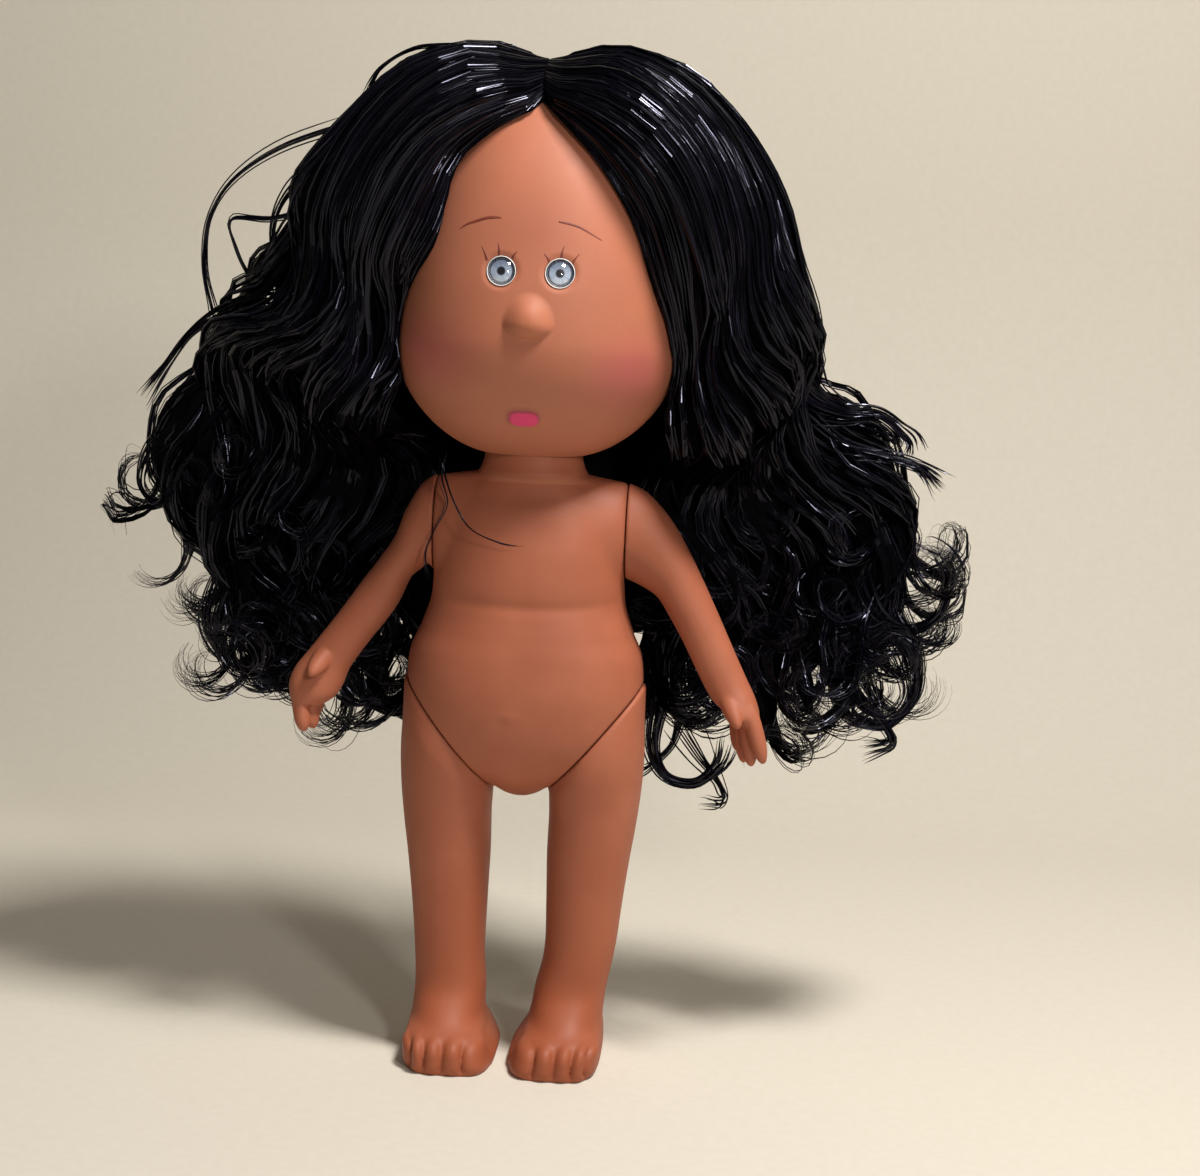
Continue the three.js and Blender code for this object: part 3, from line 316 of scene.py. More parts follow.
def loft(name, rings, material):
    """A closed surface through rings, counter-clockwise seen from the end."""
    return make_mesh(name, *capped(rings), material)


def on_side(rings, side):
    """Rings of the doll's left side, or mirrored to its right with their faces still outwards."""
    return rings if side > 0 else rings[:, ::-1] * np.array([-1, 1, 1])


def tube(radii, heights, turn):
    """Level circles of those radii at those heights."""
    radii, heights = np.asarray(radii)[:, None], np.asarray(heights)[:, None]
    return np.stack([radii * np.cos(turn), radii * np.sin(turn), heights + 0 * turn], -1)


def smooth_step(low, high, value):
    """0 below low, 1 above high, 3t^2 - 2t^3 between."""
    t = np.clip((value - low) / (high - low), 0, 1)
    return t * t * (3 - 2 * t)


def unit(vectors):
    """Vectors of length one along the last axis."""
    return vectors / np.maximum(np.linalg.norm(vectors, axis=-1, keepdims=True), 1e-9)


def apply_modifiers(piece):
    """Replaces the piece's mesh with its evaluated one and drops the modifiers."""
    bpy.context.view_layer.update()
    graph = bpy.context.evaluated_depsgraph_get()
    mesh = bpy.data.meshes.new_from_object(piece.evaluated_get(graph), depsgraph=graph)
    old = piece.data
    piece.modifiers.clear()
    piece.data = mesh
    bpy.data.meshes.remove(old)
    mesh.polygons.foreach_set("use_smooth", np.ones(len(mesh.polygons), bool))


def melt_together(name, parts, voxel, rounds, material):
    """Joins overlapping closed surfaces into one skin by a voxel remesh, then rounds creases."""
    points, quads, tris, offset = [], [], [], 0
    for rings in parts:
        part, faces = capped(rings)
        points.append(part)
        quads.append(faces[0] + offset)
        tris.append(faces[1] + offset)
        offset += len(part)
    piece = make_mesh(name, np.concatenate(points), [np.concatenate(quads), np.concatenate(tris)],
                      material)
    remesh = piece.modifiers.new("melt", "REMESH")
    remesh.mode = "VOXEL"
    remesh.voxel_size = voxel * MM
    relax = piece.modifiers.new("relax", "SMOOTH")
    relax.factor = 0.5
    relax.iterations = rounds
    apply_modifiers(piece)
    return piece


def points_of(piece):
    """The piece's vertices as an (n, 3) array in mm."""
    co = np.zeros(len(piece.data.vertices) * 3, np.float32)
    piece.data.vertices.foreach_get("co", co)
    return co.reshape(-1, 3).astype(float) / MM


def move_points(piece, points):
    """Writes an (n, 3) array in mm back to the piece's vertices."""
    piece.data.vertices.foreach_set("co", (points * MM).astype(np.float32).ravel())
    piece.data.update()


# Materials

def new_material(name, roughness, **sockets):
    """A material with its shader, its node tree and the fixed values on the shader's sockets."""
    material = bpy.data.materials.new(name)
    material.use_nodes = True
    shader = material.node_tree.nodes["Principled BSDF"]
    shader.inputs["Roughness"].default_value = roughness
    for socket, value in sockets.items():
        shader.inputs[socket.replace("_", " ")].default_value = value
    return material, material.node_tree, shader


def add_node(tree, kind, inputs=(), **settings):
    """One node with its settings, and its inputs linked or set in order of (socket, value)."""
    node = tree.nodes.new(kind)
    for key, value in settings.items():
        setattr(node, key, value)
    for socket, value in inputs:
        if isinstance(value, bpy.types.NodeSocket):
            tree.links.new(value, node.inputs[socket])
        else:
            node.inputs[socket].default_value = value
    return node


def object_place(tree):
    """The Object coordinates socket, in metres from the frame's origin."""
    return add_node(tree, "ShaderNodeTexCoord").outputs["Object"]


def noise(tree, vector, scale, detail=2.0, rough=0.5):
    """The Fac socket of a noise texture of that scale per metre."""
    return add_node(tree, "ShaderNodeTexNoise",
                    (("Vector", vector), ("Scale", scale), ("Detail", detail),
                     ("Roughness", rough))).outputs["Fac"]


def remap(tree, value, low, high, to_low=0.0, to_high=1.0, smooth=False):
    """Carries low..high to to_low..to_high, clamped."""
    node = add_node(tree, "ShaderNodeMapRange",
                    (("Value", value), ("From Min", low), ("From Max", high),
                     ("To Min", to_low), ("To Max", to_high)))
    if smooth:
        node.interpolation_type = "SMOOTHSTEP"
    return node.outputs["Result"]


def mix(tree, fac, a, b):
    """Colour a where fac is 0 and b where it is 1."""
    node = add_node(tree, "ShaderNodeMix", data_type="RGBA")
    for index, value in ((0, fac), (6, a), (7, b)):
        if isinstance(value, bpy.types.NodeSocket):
            tree.links.new(value, node.inputs[index])
        else:
            node.inputs[index].default_value = value if index == 0 else (*value, 1.0)
    return node.outputs[2]


def calculate(tree, operation, a, b=0.0):
    """One Math node."""
    return add_node(tree, "ShaderNodeMath", ((0, a), (1, b)), operation=operation).outputs[0]


def bump(tree, shader, height, distance, strength=1.0):
    """Raises the surface by height times distance in metres."""
    node = add_node(tree, "ShaderNodeBump",
                    (("Height", height), ("Distance", distance), ("Strength", strength)))
    tree.links.new(node.outputs["Normal"], shader.inputs["Normal"])


def mapped(tree, vector, scale, shift=(0.0, 0.0, 0.0)):
    """The vector times scale, then moved by shift."""
    return add_node(tree, "ShaderNodeMapping",
                    (("Vector", vector), ("Scale", scale), ("Location", shift))).outputs[0]


def near_point(tree, place, centre, stretch, inner, outer):
    """1 at centre (mm) falling to 0, by distance with each axis divided by stretch."""
    moved = mapped(tree, place, [1 / MM / s for s in stretch],
                   [-c / s for c, s in zip(centre, stretch)])
    length = add_node(tree, "ShaderNodeVectorMath", ((0, moved),), operation="LENGTH")
    return remap(tree, length.outputs["Value"], inner, outer, 1.0, 0.0, smooth=True)


BODY_BROWN = (0.385, 0.120, 0.062)
BODY_BROWN_DEEP = (0.340, 0.100, 0.050)
FACE_BROWN = (0.420, 0.141, 0.077)
FACE_BROWN_DEEP = (0.395, 0.134, 0.074)
BLUSH = (0.410, 0.098, 0.084)
# Noise scales per metre, of the broad mottling, the specks, the gloss and the moulded grain.
MOTTLE_SCALE, SPECK_SCALE, GLOSS_SCALE, GRAIN_SCALE = 38.0, 900.0, 120.0, 2600.0
GRAIN_DEPTH = 0.00006
# The mouth's layers: a faint dark ring round it, a little up and to the left, which is painted
# shade, then the painted lips, darker rose above and bright pink below. Each has its offset from
# its middle, half sizes, where it begins and ends to fade, how dense it is, and its colour.
MOUTH_PAINT_AND_SHADE = (
    ((-0.3, 0.0, 0.5), (5.2, 3.0), 0.3, 1.3, 0.35, (0.200, 0.060, 0.040)),
    ((0.0, 0.0, 0.3), (4.5, 2.1), 0.6, 1.3, 1.0, (0.330, 0.048, 0.075)),
    ((0.2, 0.0, -0.35), (4.0, 2.0), 0.45, 1.35, 1.0, (0.660, 0.048, 0.155)),
)


def rounded_patch(tree, place, centre, half, inner, outer):
    """1 inside a rounded rectangle seen from the front, by |x/a|^3 + |z/b|^3, fading outwards."""
    moved = mapped(tree, place, (1 / MM / half[0], 1.0, 1 / MM / half[1]),
                   (-centre[0] / half[0], 0.0, -centre[2] / half[1]))
    axes = add_node(tree, "ShaderNodeSeparateXYZ", ((0, moved),))
    cubes = [calculate(tree, "POWER", calculate(tree, "ABSOLUTE", axes.outputs[k]), 3.0)
             for k in ("X", "Z")]
    reach = calculate(tree, "ADD", *cubes)
    front = calculate(tree, "LESS_THAN", axes.outputs["Y"], -0.02)
    return calculate(tree, "MULTIPLY", remap(tree, reach, inner, outer, 1.0, 0.0, smooth=True), front)


def vinyl(name, light, deep, tints_and_painted_light=(), mouth=None, roughness=0.56):
    """Matt vinyl: two browns mottled by broad noise, soft tinted patches that give blush, painted
    shade and a painted highlight, a painted mouth with painted shade round it, and a fine moulded
    grain."""
    material, tree, shader = new_material(name, roughness, Subsurface_Weight=0.05,
                                          Subsurface_Scale=0.004, Specular_IOR_Level=0.34)
    shader.inputs["Subsurface Radius"].default_value = (1.0, 0.35, 0.2)
    place = object_place(tree)
    broad = remap(tree, noise(tree, place, MOTTLE_SCALE, 3.0), 0.35, 0.65, smooth=True)
    colour = mix(tree, broad, light, deep)
    specks = remap(tree, noise(tree, place, SPECK_SCALE), 0.62, 0.74, 0.0, 0.22, smooth=True)
    colour = mix(tree, specks, colour, tuple(c * 0.72 for c in light))
    for centre, stretch, depth, tint in tints_and_painted_light:
        patch = near_point(tree, place, centre, stretch, 0.0, 1.0)
        colour = mix(tree, calculate(tree, "MULTIPLY", patch, depth), colour, tint)
    for offset, half, inner, outer, depth, tint in () if mouth is None else MOUTH_PAINT_AND_SHADE:
        layer = rounded_patch(tree, place, mouth + offset, half, inner, outer)
        colour = mix(tree, calculate(tree, "MULTIPLY", layer, depth), colour, tint)
    tree.links.new(colour, shader.inputs["Base Color"])
    gloss = remap(tree, noise(tree, place, GLOSS_SCALE, 3.0), 0.3, 0.7,
                  roughness - 0.05, roughness + 0.06)
    tree.links.new(gloss, shader.inputs["Roughness"])
    bump(tree, shader, noise(tree, place, GRAIN_SCALE), GRAIN_DEPTH, 0.5)
    return material


def hair_material(name, dark, tint, roughness, streaks=0.0, **sockets):
    """Nylon fibre: near black with a tint that differs from strand to strand along the UV. With
    streaks, a ribbon's width is ruled with fine ridges that run its whole length."""
    material, tree, shader = new_material(name, roughness, **sockets)
    uv = add_node(tree, "ShaderNodeUVMap", uv_map="strand").outputs[0]
    split = add_node(tree, "ShaderNodeSeparateXYZ", ((0, uv),))
    strand, along = split.outputs["X"], split.outputs["Y"]
    if streaks:
        picked = noise(tree, mapped(tree, uv, (1.0, 0.004, 1.0)), streaks, 2.0)
        bump(tree, shader, picked, 0.0008, 1.0)
        picked = remap(tree, picked, 0.35, 0.75)
    else:
        scrambled = add_node(tree, "ShaderNodeTexWhiteNoise", (("W", strand),), noise_dimensions="1D")
        picked = remap(tree, scrambled.outputs["Value"], 0.45, 1.0)
    fade = remap(tree, along, 0.0, 1.0, 0.6, 1.1)
    colour = mix(tree, calculate(tree, "MULTIPLY", picked, fade), dark, tint)
    tree.links.new(colour, shader.inputs["Base Color"])
    gloss = remap(tree, picked, 0.0, 1.0, roughness - 0.05, roughness + 0.10)
    tree.links.new(gloss, shader.inputs["Roughness"])
    return material


def plain_material(name, light, deep, scale, roughness, grain=0.00004, **sockets):
    """A moulded or painted finish: two close colours by noise, and a little relief."""
    material, tree, shader = new_material(name, roughness, **sockets)
    place = object_place(tree)
    colour = mix(tree, remap(tree, noise(tree, place, scale), 0.35, 0.65), light, deep)
    tree.links.new(colour, shader.inputs["Base Color"])
    bump(tree, shader, noise(tree, place, scale * 6), grain, 0.5)
    return material


# Where each begins and ends to fade in, in mm from the eye's middle: the painted shade by height,
# the dark rim and the pupil by radius.
IRIS_SHADE = (-0.8, 2.8)
IRIS_RIM = (2.75, 3.2)
PUPIL_EDGE = (1.45, 0.95)


def iris_material(name, side):
    """Printed iris under gloss: black pupil, blue-grey streaks by angle, painted shade above, and a
    dark ring that fills the rim."""
    material, tree, shader = new_material(name, 0.40, Specular_IOR_Level=0.3)
    place = object_place(tree)
    vector = mapped(tree, place, (1 / MM, 0.0, 1 / MM), (-side * EYE_X, 0.0, -EYE_Z))
    length = add_node(tree, "ShaderNodeVectorMath", ((0, vector),), operation="LENGTH")
    radius = length.outputs["Value"]
    unit_vector = add_node(tree, "ShaderNodeVectorMath", ((0, vector),), operation="NORMALIZE")
    streaks = noise(tree, unit_vector.outputs[0], 7.0, 4.0, 0.7)
    colour = mix(tree, remap(tree, streaks, 0.35, 0.65), (0.22, 0.29, 0.42), (0.60, 0.67, 0.78))
    height = add_node(tree, "ShaderNodeSeparateXYZ", ((0, vector),)).outputs["Z"]
    shade = remap(tree, height, *IRIS_SHADE, 0.0, 0.80, smooth=True)
    colour = mix(tree, shade, colour, (0.07, 0.10, 0.17))
    rim = remap(tree, radius, *IRIS_RIM, smooth=True)
    colour = mix(tree, rim, colour, (0.012, 0.016, 0.040))
    pupil = remap(tree, radius, *PUPIL_EDGE, smooth=True)
    colour = mix(tree, pupil, colour, (0.003, 0.003, 0.008))
    tree.links.new(colour, shader.inputs["Base Color"])
    bump(tree, shader, streaks, 0.00003, 0.4)
    return material


def lens_material():
    """Clear polished shell: nearly see-through, and a mirror for the lamps."""
    material, tree, shader = new_material("lens_clear", 0.03, Metallic=1.0, Alpha=0.08)
    place = object_place(tree)
    colour = mix(tree, noise(tree, place, 300.0), (0.97, 0.98, 1.0), (1.0, 1.0, 1.0))
    tree.links.new(colour, shader.inputs["Base Color"])
    return material


# Body surfaces

LEG_ROWS = 110
LEG_VOXEL = 0.6
ARM_ROWS = 90
ARM_VOXEL = 0.48


def torso_section(z):
    """Half width, front and back depth of the torso at heights z."""
    return section_at(TORSO_SHARES, (z - CROTCH) / TORSO_HEIGHT, TORSO_SIZES, 400)


def hip_limit(z):
    """How far across the torso may reach at height z before it meets the hip plane."""
    return HIP_CENTRE[0] - SEAM_GAP + (z - HIP_CENTRE[2]) * math.tan(HIP_TILT)


TORSO_ROWS = 190
CUT_SAMPLES = 26
FACE_SAMPLES = 44
SMALLEST_CORNER = 0.30
WAIST_Z, WAIST_BOW, WAIST_HALF_HEIGHT, WAIST_DEPTH = 139.5, 0.002, 1.9, 0.38
NAVEL_X, NAVEL_Z, NAVEL_SPREAD, NAVEL_DEPTH = -2.6, 108.3, 1.7, 0.45
# Height, and how much wider than the neck the ring is there.
NECK_FLARE = np.array([(176.5, 2.2), (178.5, 1.0), (181.0, 0.2), (184.0, 0.0), (NECK_TOP, 0.0)])


def torso_angles(half_width, limit):
    """Angles per row: even steps over the cut stretch |x| > limit and over the rest."""
    reach = np.clip(limit / half_width, 0.02, 0.9995)
    corner = np.arccos(np.clip(reach ** (TORSO_POWER / 2), 0, 1))
    corner = np.maximum(corner, SMALLEST_CORNER)[:, None]
    cut = np.linspace(-1, 1, CUT_SAMPLES)[None, :] * corner
    rest = corner + (math.pi - 2 * corner) * np.linspace(0, 1, FACE_SAMPLES)[None, 1:-1]
    return np.concatenate([cut, rest, cut + math.pi, rest + math.pi], axis=1)


def make_torso(material):
    """Superellipse rings from crotch to neck, cut flat at both hip planes, with raised oval
    shoulder seats, a waist crease and a navel."""
    table = smooth_table(TORSO_SHARES, TORSO_ROWS)
    z = CROTCH + table[:, 0] * TORSO_HEIGHT
    half_width, front, back = (table[:, 1:] * TORSO_SIZES).T
    angles = torso_angles(half_width, hip_limit(z))
    x, y = superellipse(angles, half_width[:, None], front[:, None], back[:, None], TORSO_POWER)
    limit = hip_limit(z)[:, None]
    x = np.clip(x, -np.maximum(limit, 0.2), np.maximum(limit, 0.2))
    zz = np.repeat(z[:, None], x.shape[1], 1)
    oval = np.hypot((zz - SHOULDER[2]) / SHOULDER_HALF_HEIGHT, y / SHOULDER_HALF_DEPTH)
    seat = 1 - smooth_step(0.93, 1.3, oval)
    face = SHOULDER[0] - SEAM_GAP / 2
    x = np.sign(x) * np.where(np.abs(x) > 12, np.abs(x) + (face - np.abs(x)) * seat, np.abs(x))
    frontal = np.clip(-y / 20.0, 0, 1)
    crease = np.exp(-((zz - WAIST_Z - WAIST_BOW * x**2) / WAIST_HALF_HEIGHT) ** 2) * frontal
    y = y + WAIST_DEPTH * crease
    away = ((x - NAVEL_X) ** 2 + (zz - NAVEL_Z) ** 2) / NAVEL_SPREAD
    y = y - NAVEL_DEPTH * np.exp(-away) * frontal
    rings = np.stack([x, y, zz], -1)
    neck = tube(NECK_RADIUS + NECK_FLARE[:, 1], NECK_FLARE[:, 0], angles[-1])
    piece = loft("torso_skin", np.concatenate([rings, neck]), material)
    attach(piece, "torso")
    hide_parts("torso")


def inside_torso(points):
    """Whether points lie within the torso's superellipse at their height."""
    x, y, z = points.T
    return (z > CROTCH) & (reach_in(x, y, *torso_section(z), TORSO_POWER) < 1)


def hip_ring(around):
    """The torso's edge in the hip plane, found by halving along rays from the hip centre."""
    turn = full_turn(around)
    outward = np.array([math.sin(HIP_TILT), 0, math.cos(HIP_TILT)])
    rays = np.cos(turn)[:, None] * outward + np.sin(turn)[:, None] * np.array([0, 1.0, 0])
    near, far = np.zeros(around), np.full(around, TORSO_HALF_WIDTH)
    for _ in range(24):
        middle = (near + far) / 2
        within = inside_torso(HIP_CENTRE + rays * middle[:, None])
        near, far = np.where(within, middle, near), np.where(within, far, middle)
    return rays, near


def edge_rings(outer, inner, front, back, y, around, power=LIMB_POWER):
    """Rings through an outer and an inner edge in the X-Z plane, with their depths along Y."""
    turn = full_turn(around)[None, :]
    middle, across = (outer + inner) / 2, outer - inner
    half = np.linalg.norm(across, axis=1)[:, None]
    u, v = superellipse(turn, half / 2, front[:, None], back[:, None], power)
    direction = (across / half)[:, None, :]
    rings = middle[:, None, :] + u[..., None] * direction
    rings[..., 1] += y[:, None] + v
    return rings


def in_plane(x, z):
    """Points at y = 0."""
    return np.stack([x, np.zeros_like(x), z], -1)


def leg_rings(around=96):
    """The thigh's ring on the hip plane with a rounded edge, then sections down to the sole."""
    leg, foot, hip = LEG_SHARES, FOOT_SHARES, HIP_CENTRE[2]
    outer, inner = (in_plane(np.concatenate([leg[:, 2 * k], foot[:, k + 1]]) * HIP_SPACING,
                             np.concatenate([leg[:, 2 * k + 1] * hip, foot[:, 0] * ANKLE]))
                    for k in (0, 1))
    front, back = (np.concatenate([leg[:, k + 1] * LEG_HALF_DEPTH, foot[:, k] * FOOT_HALF_LENGTH])
                   for k in (3, 4))
    rays, reach = hip_ring(around)
    seam = HIP_CENTRE + HIP_NORMAL * (SEAM_GAP / 2)
    first = [seam + rays * (reach - inset)[:, None] + HIP_NORMAL * drop
             for inset, drop in ((0.7, 0.0), (0.25, 0.12), (0.05, 0.45), (0.0, 1.0))]
    power = np.full((len(outer), 1), LIMB_POWER)
    power[-4:] = FOOT_POWER
    body = edge_rings(outer, inner, front, back, np.zeros(len(outer)), around, power)
    control = np.concatenate([np.stack(first[3:]), body])
    return np.concatenate([np.stack(first[:3]), smooth_rings(control, LEG_ROWS)])


def groove_toes(points, normals, side):
    """Points pressed in between the toes, by 1 - (1 - 0.97 u^2)^0.5 for u from -1 to 1 over a
    toe, and swelled a little on each toe's ball."""
    across = side * points[:, 0] / HIP_SPACING
    toe = np.clip(np.searchsorted(TOE_EDGE_SHARES, across) - 1, 0, len(TOE_EDGE_SHARES) - 2)
    low, high = TOE_EDGE_SHARES[toe], TOE_EDGE_SHARES[toe + 1]
    u = np.clip((2 * across - low - high) / (high - low), -1, 1)
    press = 1 - np.sqrt(1 - 0.97 * u**2)
    knuckle = TOE_KNUCKLE - 1.2 * u**2
    mask = 1 - smooth_step(-17, -12, points[:, 1])
    mask = mask * (1 - smooth_step(-2.5, 1.0, points[:, 2] - knuckle))
    mask = mask * smooth_step(-0.9, -0.3, normals[:, 2])
    mask = mask * (across > TOE_EDGE_SHARES[0]) * (across < TOE_EDGE_SHARES[-1])
    swell = TOE_SWELL * np.exp(-((points[:, 2] - 8.0) / 3.0) ** 2) * (1 - u**2)
    return points + normals * (mask * (swell - TOE_GROOVE * press))[:, None]


def make_leg(name, side, material):
    """Thigh, shin and foot in one skin, with grooves between the toes and a flat sole."""
    flip = np.array([side, 1, 1])
    rings = on_side(leg_rings()[::-1], side)
    piece = melt_together(f"leg_skin_{name}", [rings], LEG_VOXEL, 6, material)
    normals = np.empty(len(piece.data.vertices) * 3)
    piece.data.vertices.foreach_get("normal", normals)
    points = groove_toes(points_of(piece), normals.reshape(-1, 3), side)
    points[:, 0] -= side * FOOT_SHIFT[name] * (1 - smooth_step(0, 40, points[:, 2]))
    points[:, 2] = np.maximum(points[:, 2], 0.02)
    normal = HIP_NORMAL * flip
    over = (points - HIP_CENTRE * flip) @ normal
    points += np.maximum(SEAM_GAP / 2 - over, 0)[:, None] * normal
    move_points(piece, points)
    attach(piece, f"leg_{name}")
    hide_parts(f"leg_{name}")


def digit_rings(root, tip, thickness, rows=22, around=24):
    """Rings of a blunt egg from root to tip: radius r (1 - |s|^2.6)^(1/2), s from -1 to 1."""
    scale = np.array([ARM_LENGTH, ARM_HALF_DEPTH, ARM_LENGTH])
    shift = SHOULDER - np.array([0, ARM_LEAN, 0])
    start, end = (np.array([p[0], p[2], p[1]]) * scale + shift for p in (root, tip))
    radius = thickness * THUMB_RADIUS
    along = end - start
    length = np.linalg.norm(along)
    along = along / length
    side = unit(np.cross(along, np.array([0, 1.0, 0])))
    up = np.cross(side, along)
    s = np.sin(np.linspace(-1.53, 1.53, rows))
    size = radius * np.sqrt(1 - np.abs(s) ** 2.6)
    turn = full_turn(around)
    ring = np.cos(turn)[:, None] * side + np.sin(turn)[:, None] * up
    middle = (start + end) / 2 + along * (s * (length / 2 + radius))[:, None]
    return middle[:, None, :] + ring[None] * size[:, None, None]


def make_arm(name, side, material):
    """Shoulder oval, arm, palm, fingers and thumb melted into one skin."""
    table = ARM_SHARES[name]
    root = SHOULDER + np.array([SEAM_GAP / 2, 0, 0])
    height = np.array([0, 0, SHOULDER_HALF_HEIGHT])
    outer, inner = (np.concatenate([[start], in_plane(*table[:, k:k + 2].T) * ARM_LENGTH + SHOULDER])
                    for k, start in ((0, root + height), (2, root - height)))
    front, back = (np.concatenate([[SHOULDER_HALF_DEPTH], table[:, k] * ARM_HALF_DEPTH])
                   for k in (4, 5))
    lean = np.concatenate([[0], -table[:, 6] * ARM_LEAN])
    skin = smooth_rings(edge_rings(outer, inner, front, back, lean, 72), ARM_ROWS)
    rounded = skin[:3].copy()
    middle = rounded[:1].mean(1, keepdims=True)
    for row, (shrink, drop) in enumerate(((0.95, 0.0), (0.985, 0.15), (0.998, 0.5))):
        rounded[row] = middle[0] + (skin[0] - middle[0]) * shrink + np.array([drop, 0, 0])
    parts = [np.concatenate([rounded, skin[1:]])]
    parts += [digit_rings(*digit) for digit in DIGIT_SHARES[name]]
    parts = [on_side(part, side) for part in parts]
    piece = melt_together(f"arm_skin_{name}", parts, ARM_VOXEL, 4, material)
    points = points_of(piece)
    points[:, 0] = side * np.maximum(side * points[:, 0], SHOULDER[0] + SEAM_GAP / 2)
    move_points(piece, points)
    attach(piece, f"arm_{name}")
    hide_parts(f"arm_{name}")


# Head and face

HEAD_AROUND = 344
NOSE_HEIGHT = 3.2
NOSE_RADII = np.array([7.2, 4.8, 8.6])
EYE_HOLE = 4.0
PRINT_RADIUS = 3.84
EYE_SPHERE = 5.0
EYE_SINK = 0.38
PRINT_FLATNESS, PRINT_SINK = 0.32, 0.22
SHELL_INSIDE, SHELL_OUTSIDE = 0.31, 0.23
MOUTH = np.array([-0.9, -34.0, 195.0])
SOCKET_DEPTH = 0.45
HOLE_DEPTH = 6.0
LIP_HALF_WIDTH, LIP_RISE, LIP_GROOVE = 4.6, 0.45, 0.22


def head_section(z):
    """Half width, face depth and nape depth of the head at heights z."""
    return section_at(HEAD_SHARES, (z - CHIN) / HEAD_HEIGHT, HEAD_SIZES, 600)


def face_depth_at(x, z):
    """y of the bare face at places x, z: -front (1 - |x/w|^p)^(1/p)."""
    half_width, front, _ = head_section(z)
    inside = np.clip(1 - (np.abs(x) / half_width) ** HEAD_POWER, 0, 1)
    return -front * inside ** (1 / HEAD_POWER)


def nose_rise(x, z):
    """Height of the nose: (1 - rho^2.3)^p over an oval, with p small for a firm lower edge and
    large above, where the nose runs out softly into the face; rho^2.3 keeps the top full."""
    up = z - NOSE_Z + 0.8
    reach = np.where(up < 0, NOSE_RADII[1], NOSE_RADII[2])
    inside = np.clip(1 - ((x / NOSE_RADII[0]) ** 2 + (up / reach) ** 2) ** 1.15, 0, 1)
    return NOSE_HEIGHT * inside ** (0.72 + 1.3 * smooth_step(-4.5, 5.0, up))


def face_relief(x, y, z):
    """y of the modelled face: nose, a dished socket with a straight hole for each eye, and a
    full lower lip under a shallow groove."""
    frontal = y < -5
    y = y - nose_rise(x, z) * frontal
    for side in (1, -1):
        away = np.hypot(x - side * EYE_X, z - EYE_Z)
        y = y + SOCKET_DEPTH * (1 - smooth_step(3.8, 5.8, away)) * frontal
        y = y + HOLE_DEPTH * (1 - smooth_step(EYE_HOLE - 0.5, EYE_HOLE + 0.05, away)) * frontal
    across = ((x - MOUTH[0]) / LIP_HALF_WIDTH) ** 4
    lip = np.exp(-across - ((z - MOUTH[2] + 0.9) / 1.5) ** 2)
    groove = np.exp(-across - ((z - MOUTH[2] - 1.0) / 0.6) ** 2)
    return y + (LIP_GROOVE * groove - LIP_RISE * lip) * frontal


def make_head(material):
    """Superellipse rings from chin to crown, closer together round the eyes and nose and closer
    round at the face, with the face's relief and a recess for the neck under the chin."""
    table = smooth_table(HEAD_SHARES, 120)
    z = CHIN + table[:, 0] * HEAD_HEIGHT
    fine = np.arange(MOUTH[2] - 4, EYE_Z + 8, 0.36)
    z = np.concatenate([z[z < fine[0] - 0.2], fine, z[z > fine[-1] + 0.2]])
    even = full_turn(HEAD_AROUND)
    angles = even - 0.45 * np.cos(even)
    half_width, front, back = head_section(z)
    x, y = superellipse(angles[None, :], half_width[:, None], front[:, None], back[:, None],
                        HEAD_POWER)
    zz = np.repeat(z[:, None], HEAD_AROUND, 1)
    rings = np.stack([x, face_relief(x, y, zz), zz], -1)
    radius = NECK_RADIUS + 0.6
    pocket = tube((radius, radius), (NECK_TOP + SEAM_GAP, CHIN + 1.0), np.arctan2(y[0], x[0]))
    keep = (half_width > radius + 0.3) | (z > NECK_TOP + 20)
    piece = loft("head_skin", np.concatenate([pocket, rings[keep]]), material)
    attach(piece, "head")
    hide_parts("head")


def lathe_eye(name, profile, side, seat, material, cad_node, samples=64):
    """A profile of (radius, distance towards the viewer) turned about the eye's axis and leant
    with the face: y = seat0 + seat1 dx + seat2 dz - distance."""
    profile = np.asarray(profile, float)
    turn = full_turn(samples)[None, :]
    radius, out = profile[:, 0][:, None], profile[:, 1][:, None]
    x = EYE_X + radius * np.cos(turn)
    z = EYE_Z + radius * np.sin(turn)
    y = seat[0] + seat[1] * (x - EYE_X) + seat[2] * (z - EYE_Z) - out
    piece = loft(name, on_side(np.stack([x, y, z], -1), side), material)
    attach(piece, "head")
    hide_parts(cad_node)


def dome_rise(radius):
    """Height of the eye's sphere over a radius: (R^2 - r^2)^(1/2)."""
    return math.sqrt(EYE_SPHERE**2 - radius**2)


